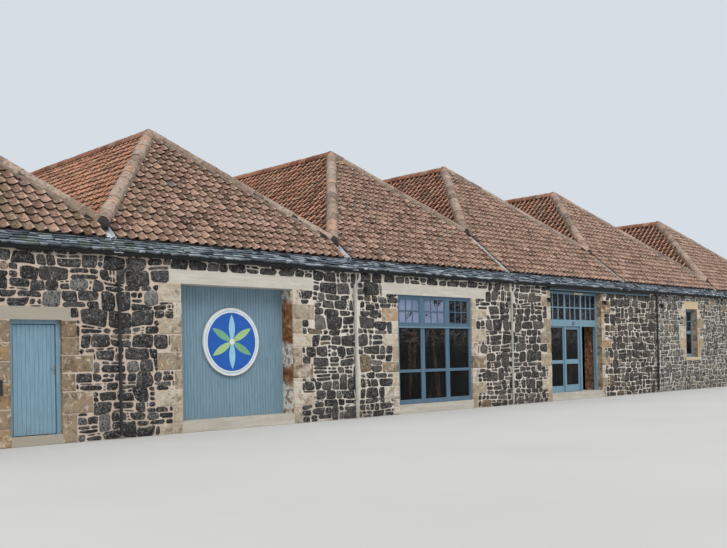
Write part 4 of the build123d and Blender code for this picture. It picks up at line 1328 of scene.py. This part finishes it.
def narrow_sash_bars():
    """Two by two panes in the upper sash of every narrow window, on all four walls."""
    heap = Heap()
    half = BAR_WIDTH / 2
    for face in FACES.values():
        for s0, s1, z0, z1, d0, d1 in spans_on(face, "narrow_window_glass"):
            bars = [(s0, s0 + SASH_BORDER, z0, z1), (s1 - SASH_BORDER, s1, z0, z1)]
            level = [(s0, s1, z0, z0 + SASH_BORDER), (s0, s1, z1 - SASH_BORDER, z1)]
            if z0 > 1.9:
                s, z = (s0 + s1) / 2, (z0 + z1) / 2
                bars.append((s - half, s + half, z0, z1))
                level.append((s0, s1, z - half, z + half))
            for left, right, low, high in bars + level:
                along, up = (left, right, right, left), (low, low, high, high)
                rings = [face.place(along, up, np.full(4, d1 + out)) for out in (-0.001, BAR_DEPTH)]
                add_rings(heap, rings, random_tones(1), (4, 5, 6, 7))
    heap.build("narrow_sash_bars", SASH_BLUE, "window_paint", smooth=False)


def arc_points(x, z, radius, y, start=0.0, end=360.0, count=64):
    """Points of an arc in an upright plane that faces the front, without its last point."""
    angles = np.linspace(math.radians(start), math.radians(end), count)[:-1]
    return np.stack([x + radius * np.cos(angles), np.full(count - 1, y),
                     z + radius * np.sin(angles)], axis=1)


def flat_shape(name, outline, thickness, material):
    """A thin plate with a given outline, its face towards the front."""
    count = len(outline)
    rear = outline + np.array([0, thickness, 0])
    front = np.arange(count, 2 * count)
    fan = np.stack([front, np.roll(front, -1), np.full(count, 2 * count)], axis=1)
    heap = Heap()
    heap.add(np.concatenate([rear, outline, outline.mean(axis=0, keepdims=True)]), random_tones(1),
             side_quads(count, 2), fan)
    heap.build(name, material, "sign_face", smooth=False)


def build_sign():
    """A round board: white rim, blue field and a six-petal compass rosette."""
    (x0, face, z0), (x1, _, z1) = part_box("round_sign")
    radius, x, z = (x1 - x0) / 2, (x0 + x1) / 2, (z0 + z1) / 2
    for name, share, proud, thickness, material in (
            ("sign_rim", 1, 0.004, 0.006, SIGN_WHITE),
            ("sign_line", 0.93, 0.006, 0.004, SIGN_PALE_BLUE),
            ("sign_band", 0.905, 0.008, 0.004, SIGN_WHITE),
            ("sign_field", 0.86, 0.010, 0.004, SIGN_BLUE)):
        flat_shape(name, arc_points(x, z, radius * share, face - proud), thickness, material)
    petal = radius * 0.80
    for n in range(6):
        tip = 60 * n + 30
        arcs = []
        for turn, first in ((60, 240), (-60, 60)):
            away = math.radians(tip + turn)
            arcs.append(arc_points(x + petal * math.cos(away), z + petal * math.sin(away), petal,
                                   face - 0.013, tip + first, tip + first + 60, 17))
        flat_shape("sign_petal_" + str(n), np.concatenate(arcs), 0.004,
                   (SIGN_GREEN, SIGN_PALE_BLUE, SIGN_DEEP_GREEN)[n % 3])
    flat_shape("sign_boss", arc_points(x, z, radius * 0.09, face - 0.016, count=33), 0.005,
               SIGN_WHITE)


def slab(name, across, depths, heights, material, slot, body=BODY, bevel=0.003):
    """One plain block between two X, two Y and two Z places, with chamfered front edges."""
    heap = Heap()
    add_box(heap, *zip(across, depths, heights), bevel)
    heap.build(name, material, slot, body, smooth=False)


def horseshoe(x, z, front):
    """A worn horseshoe, open end down, nailed flat against a rail."""
    angles = np.radians(np.linspace(-62, 242, 25))
    wave = 1 + 0.12 * np.cos(2 * (angles - math.pi / 2))
    rows = [np.stack([x + radius * np.cos(angles), np.full(25, front - proud),
                      z + radius * wave * np.sin(angles)], axis=1)
            for radius, proud in ((0.058, 0.0), (0.058, 0.009), (0.036, 0.009), (0.036, 0.0))]
    heap = Heap()
    heap.add_grids(np.stack(rows), random_tones(1))
    heap.build("horseshoe", RUSTY_IRON, "cast_iron", smooth=False)


def reveal_stones(heap, face_x, rear, z0, z1):
    """Brown and orange stones up the right-hand reveal of an opening."""
    for n, (low, top) in enumerate(stacked(z0, z1, (0.24, 0.36), 0.12)):
        tone = (rng.random() * 0.4, 0.95 if n % 2 else 0.05, 0.0)
        add_box(heap, (face_x - 0.014, FRONT_Y + 0.004, low + 0.005),
                (face_x + 0.002, rear, top - 0.005), 0.0, tone)


def build_joinery():
    """Boards, bars, plates, reveals, the horseshoe and the strip lamp at the entrance."""
    window_bars()
    narrow_sash_bars()
    cart_low, cart_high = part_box("cart_panel")
    boards("cart_panel_boards", cart_low, cart_high, CART_BOARD, PANEL_BLUE)
    (_, _, low_z), (leaf_right, _, high_z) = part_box("small_door")
    leaf_front = solid_boxes("small_door")[0][0][1]
    boards("small_door_boards", (LEAF_LEFT + 0.008, leaf_front, low_z + 0.006),
           (leaf_right - 0.006, leaf_front, high_z - 0.006), DOOR_BOARD, DOOR_BLUE,
           "small_door", 0.028)
    slab("latch_plate", (leaf_right - 0.028, leaf_right - 0.008),
         (leaf_front - 0.033, leaf_front - 0.020), LATCH_HEIGHTS, BRASS, "cast_iron", "small_door")
    slab("bell_pull", BELL_PULL[0], (FRONT_Y - 0.045, FRONT_Y - 0.008), BELL_PULL[1],
         BLACK_IRON, "cast_iron", bevel=0.008)
    build_sign()
    (_, beam_front, _), (right, _, _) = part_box("entrance_top_frame")
    slab("strip_lamp", STRIP_LAMP[0], (beam_front - 0.058, beam_front + 0.001), STRIP_LAMP[1],
         LAMP_GLOW, "lamp_black", bevel=0.010)
    horseshoe(*HORSESHOE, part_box("entrance_transom")[0][1])
    slab("doorway_inner_stone", (right - 0.014, right + 0.002),
         (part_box("entrance_posts")[1][1] + 0.004, FRONT_Y + WALL_THICKNESS), (DOORWAY_FOOT, 3.10),
         INNER_STONE, "rubble_stone", bevel=0.0)
    slab("cart_reveal", (cart_high[0] - 0.013, cart_high[0] + 0.002),
         (FRONT_Y + 0.030, cart_low[1]), (cart_low[2], cart_high[2]), REVEAL, "sandstone",
         bevel=0.0)
    heap = Heap()
    reveal_stones(heap, right, beam_front, DOORWAY_FOOT, 3.12)
    for low, high in solid_boxes("narrow_window_sashes"):
        if low[1] < FRONT_Y + 0.3 and high[0] < 14 and low[0] > 0:
            reveal_stones(heap, high[0], low[1], low[2], high[2])
    heap.build("brown_reveals", SANDSTONE, "sandstone", smooth=False)


build_walls()
build_roof()
eave_strip()
build_joinery()

# Finishes of the construction's own nodes
NODE_MATERIALS = {
    mortar(): ("front_wall_piers", "rear_wall_piers", "side_wall_piers", "wall_under_windows",
               "wall_over_small_door", "front_wall_head", "rear_wall_head", "side_wall_heads"),
    dressed("dressed_lintels", (190, 183, 172), (214, 208, 199), (206, 182, 140)):
        ("front_lintels", "narrow_window_lintels"),
    dressed("dressed_sills", (172, 165, 153), (202, 195, 184), (206, 184, 146)):
        ("narrow_window_sills", "thresholds"),
    # The entrance beam: dark paint, with painted shade from under the rail hood.
    iron("dark_beam_and_shade", (52, 60, 64), 0.1, 0.7): ("entrance_beam",),
    flags(): ("floor",),
    timber(): ("valley_beams", "valley_posts"),
    iron("tile_shadow", (50, 38, 33), 0.15, 0.9):
        ("hipped_end_slopes", "left_roof_slopes", "right_roof_slopes"),
    # Painted shade, near black, on the construction's hip and ridge tiles, seen at the open ends and
    # edges of the caps.
    iron("hip_ridge_shade", (44, 37, 33), 0.15, 0.9): ("ridge_tiles", "hip_tiles"),
    # Painted shade, near black, on the construction's eave slates, for the dark soffit under the
    # eaves.
    iron("eave_soffit_shade", (9, 9, 10), 0.0, 0.9): ("long_eave_slates", "end_eave_slates"),
    LEAD: ("valley_gutters",),
    WINDOW_BLUE: ("big_window_frame",),
    SASH_BLUE: ("narrow_window_sashes",),
    glass(): ("narrow_window_glass", "big_window_glass", "entrance_glass", "entrance_door_glass"),
    DOOR_BLUE: ("small_door_frame", "small_door", "small_door_knob"),
    PANEL_BLUE: ("cart_panel",),
    SIGN_WHITE: ("round_sign",),
    ENTRANCE_BLUE: ("entrance_posts", "entrance_transom", "entrance_top_frame",
                    "entrance_side_frame", "entrance_door"),
    hood_paint(): ("rail_hood",),
    BLACK_IRON: ("door_hinges", "black_downpipes", "wall_lamps"),
    iron("pale_iron", (158, 158, 152), 0.3, 0.55): ("pale_downpipes",),
}
for material, names in NODE_MATERIALS.items():
    for name in names:
        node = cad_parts[name]
        node.data.materials.clear()
        node.data.materials.append(material)
unfinished = set(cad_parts) - {n for names in NODE_MATERIALS.values() for n in names}
assert not unfinished, unfinished


# Floor, light and camera

def build_floor():
    """A wide pale floor that takes the building's shadow."""
    size, depth = 400, -0.004
    mesh = bpy.data.meshes.new("studio_floor")
    mesh.from_pydata([(-size, -size, depth), (size, -size, depth), (size, size, depth),
                      (-size, size, depth)], [], [(0, 1, 2, 3)])
    s = Shader("studio_floor", 0.9, 0.1)
    s.base = s.ramp(s.noise(0.3, 3), (0.3, (196, 195, 192)), (0.7, (201, 200, 197)))
    mesh.materials.append(s.done())
    floor = add_object("studio_floor", mesh)


def build_light():
    """An even pale sky with one very soft sun from the front left."""
    world = bpy.data.worlds.new("studio")
    bpy.context.scene.world = world
    world.use_nodes = True
    tree = world.node_tree
    light = tree.nodes["Background"]
    height = add_node(tree, "SeparateXYZ", {0: add_node(tree, "TexCoord", {})["Generated"]})["Z"]
    brightness = add_node(tree, "MapRange", {"Value": height, "To Min": 0.45, "To Max": 1.05})
    put(tree, light.inputs["Color"], (0.94, 0.97, 1.0, 1))
    put(tree, light.inputs["Strength"], brightness["Result"])
    seen = add_node(tree, "Background", {"Color": (214, 221, 228), "Strength": 1.0})[0]
    rays = add_node(tree, "LightPath", {})
    share = rays["Is Camera Ray"]
    for ray in ("Is Glossy Ray", "Is Transmission Ray"):
        share = add_node(tree, "Math", {0: share, 1: rays[ray]}, operation="MAXIMUM")[0]
    mixed = add_node(tree, "MixShader", {0: share, 1: light.outputs[0], 2: seen})[0]
    put(tree, tree.nodes["World Output"].inputs["Surface"], mixed)
    sun = bpy.data.lights.new("soft_sun", "SUN")
    sun.energy = 1.6
    sun.angle = math.radians(32)
    sun.color = (1.0, 0.985, 0.96)
    lamp = add_object("soft_sun", sun)
    lamp.rotation_euler = Vector((0.45, 0.75, -0.95)).to_track_quat("-Z", "Y").to_euler()


def build_camera():
    """The photograph's viewpoint: near the left end, at eye height, looking along the front."""
    place = Vector((-20.8485, -22.89, 1.3787))
    heading, tilt, roll = math.radians(45.50), math.radians(0.751), math.radians(-1.112)
    forward = Vector((math.cos(heading) * math.cos(tilt), math.sin(heading) * math.cos(tilt),
                      math.sin(tilt)))
    level = Vector((math.sin(heading), -math.cos(heading), 0))
    upright = level.cross(forward)
    right = level * math.cos(roll) + upright * math.sin(roll)
    up = upright * math.cos(roll) - level * math.sin(roll)
    focal_pixels, picture_width, shift_pixels = 897.65, 727, 70.68
    data = bpy.data.cameras.new("camera")
    data.sensor_width = 36
    data.lens = focal_pixels * data.sensor_width / picture_width
    data.shift_y = shift_pixels / picture_width
    data.clip_start, data.clip_end = 0.1, 900
    camera = add_object("camera", data)
    axes = Matrix((right, up, -forward)).transposed()
    camera.matrix_world = Matrix.Translation(place) @ axes.to_4x4()
    bpy.context.scene.camera = camera


build_floor()
build_light()
build_camera()
bpy.context.scene.view_settings.view_transform = "Standard"
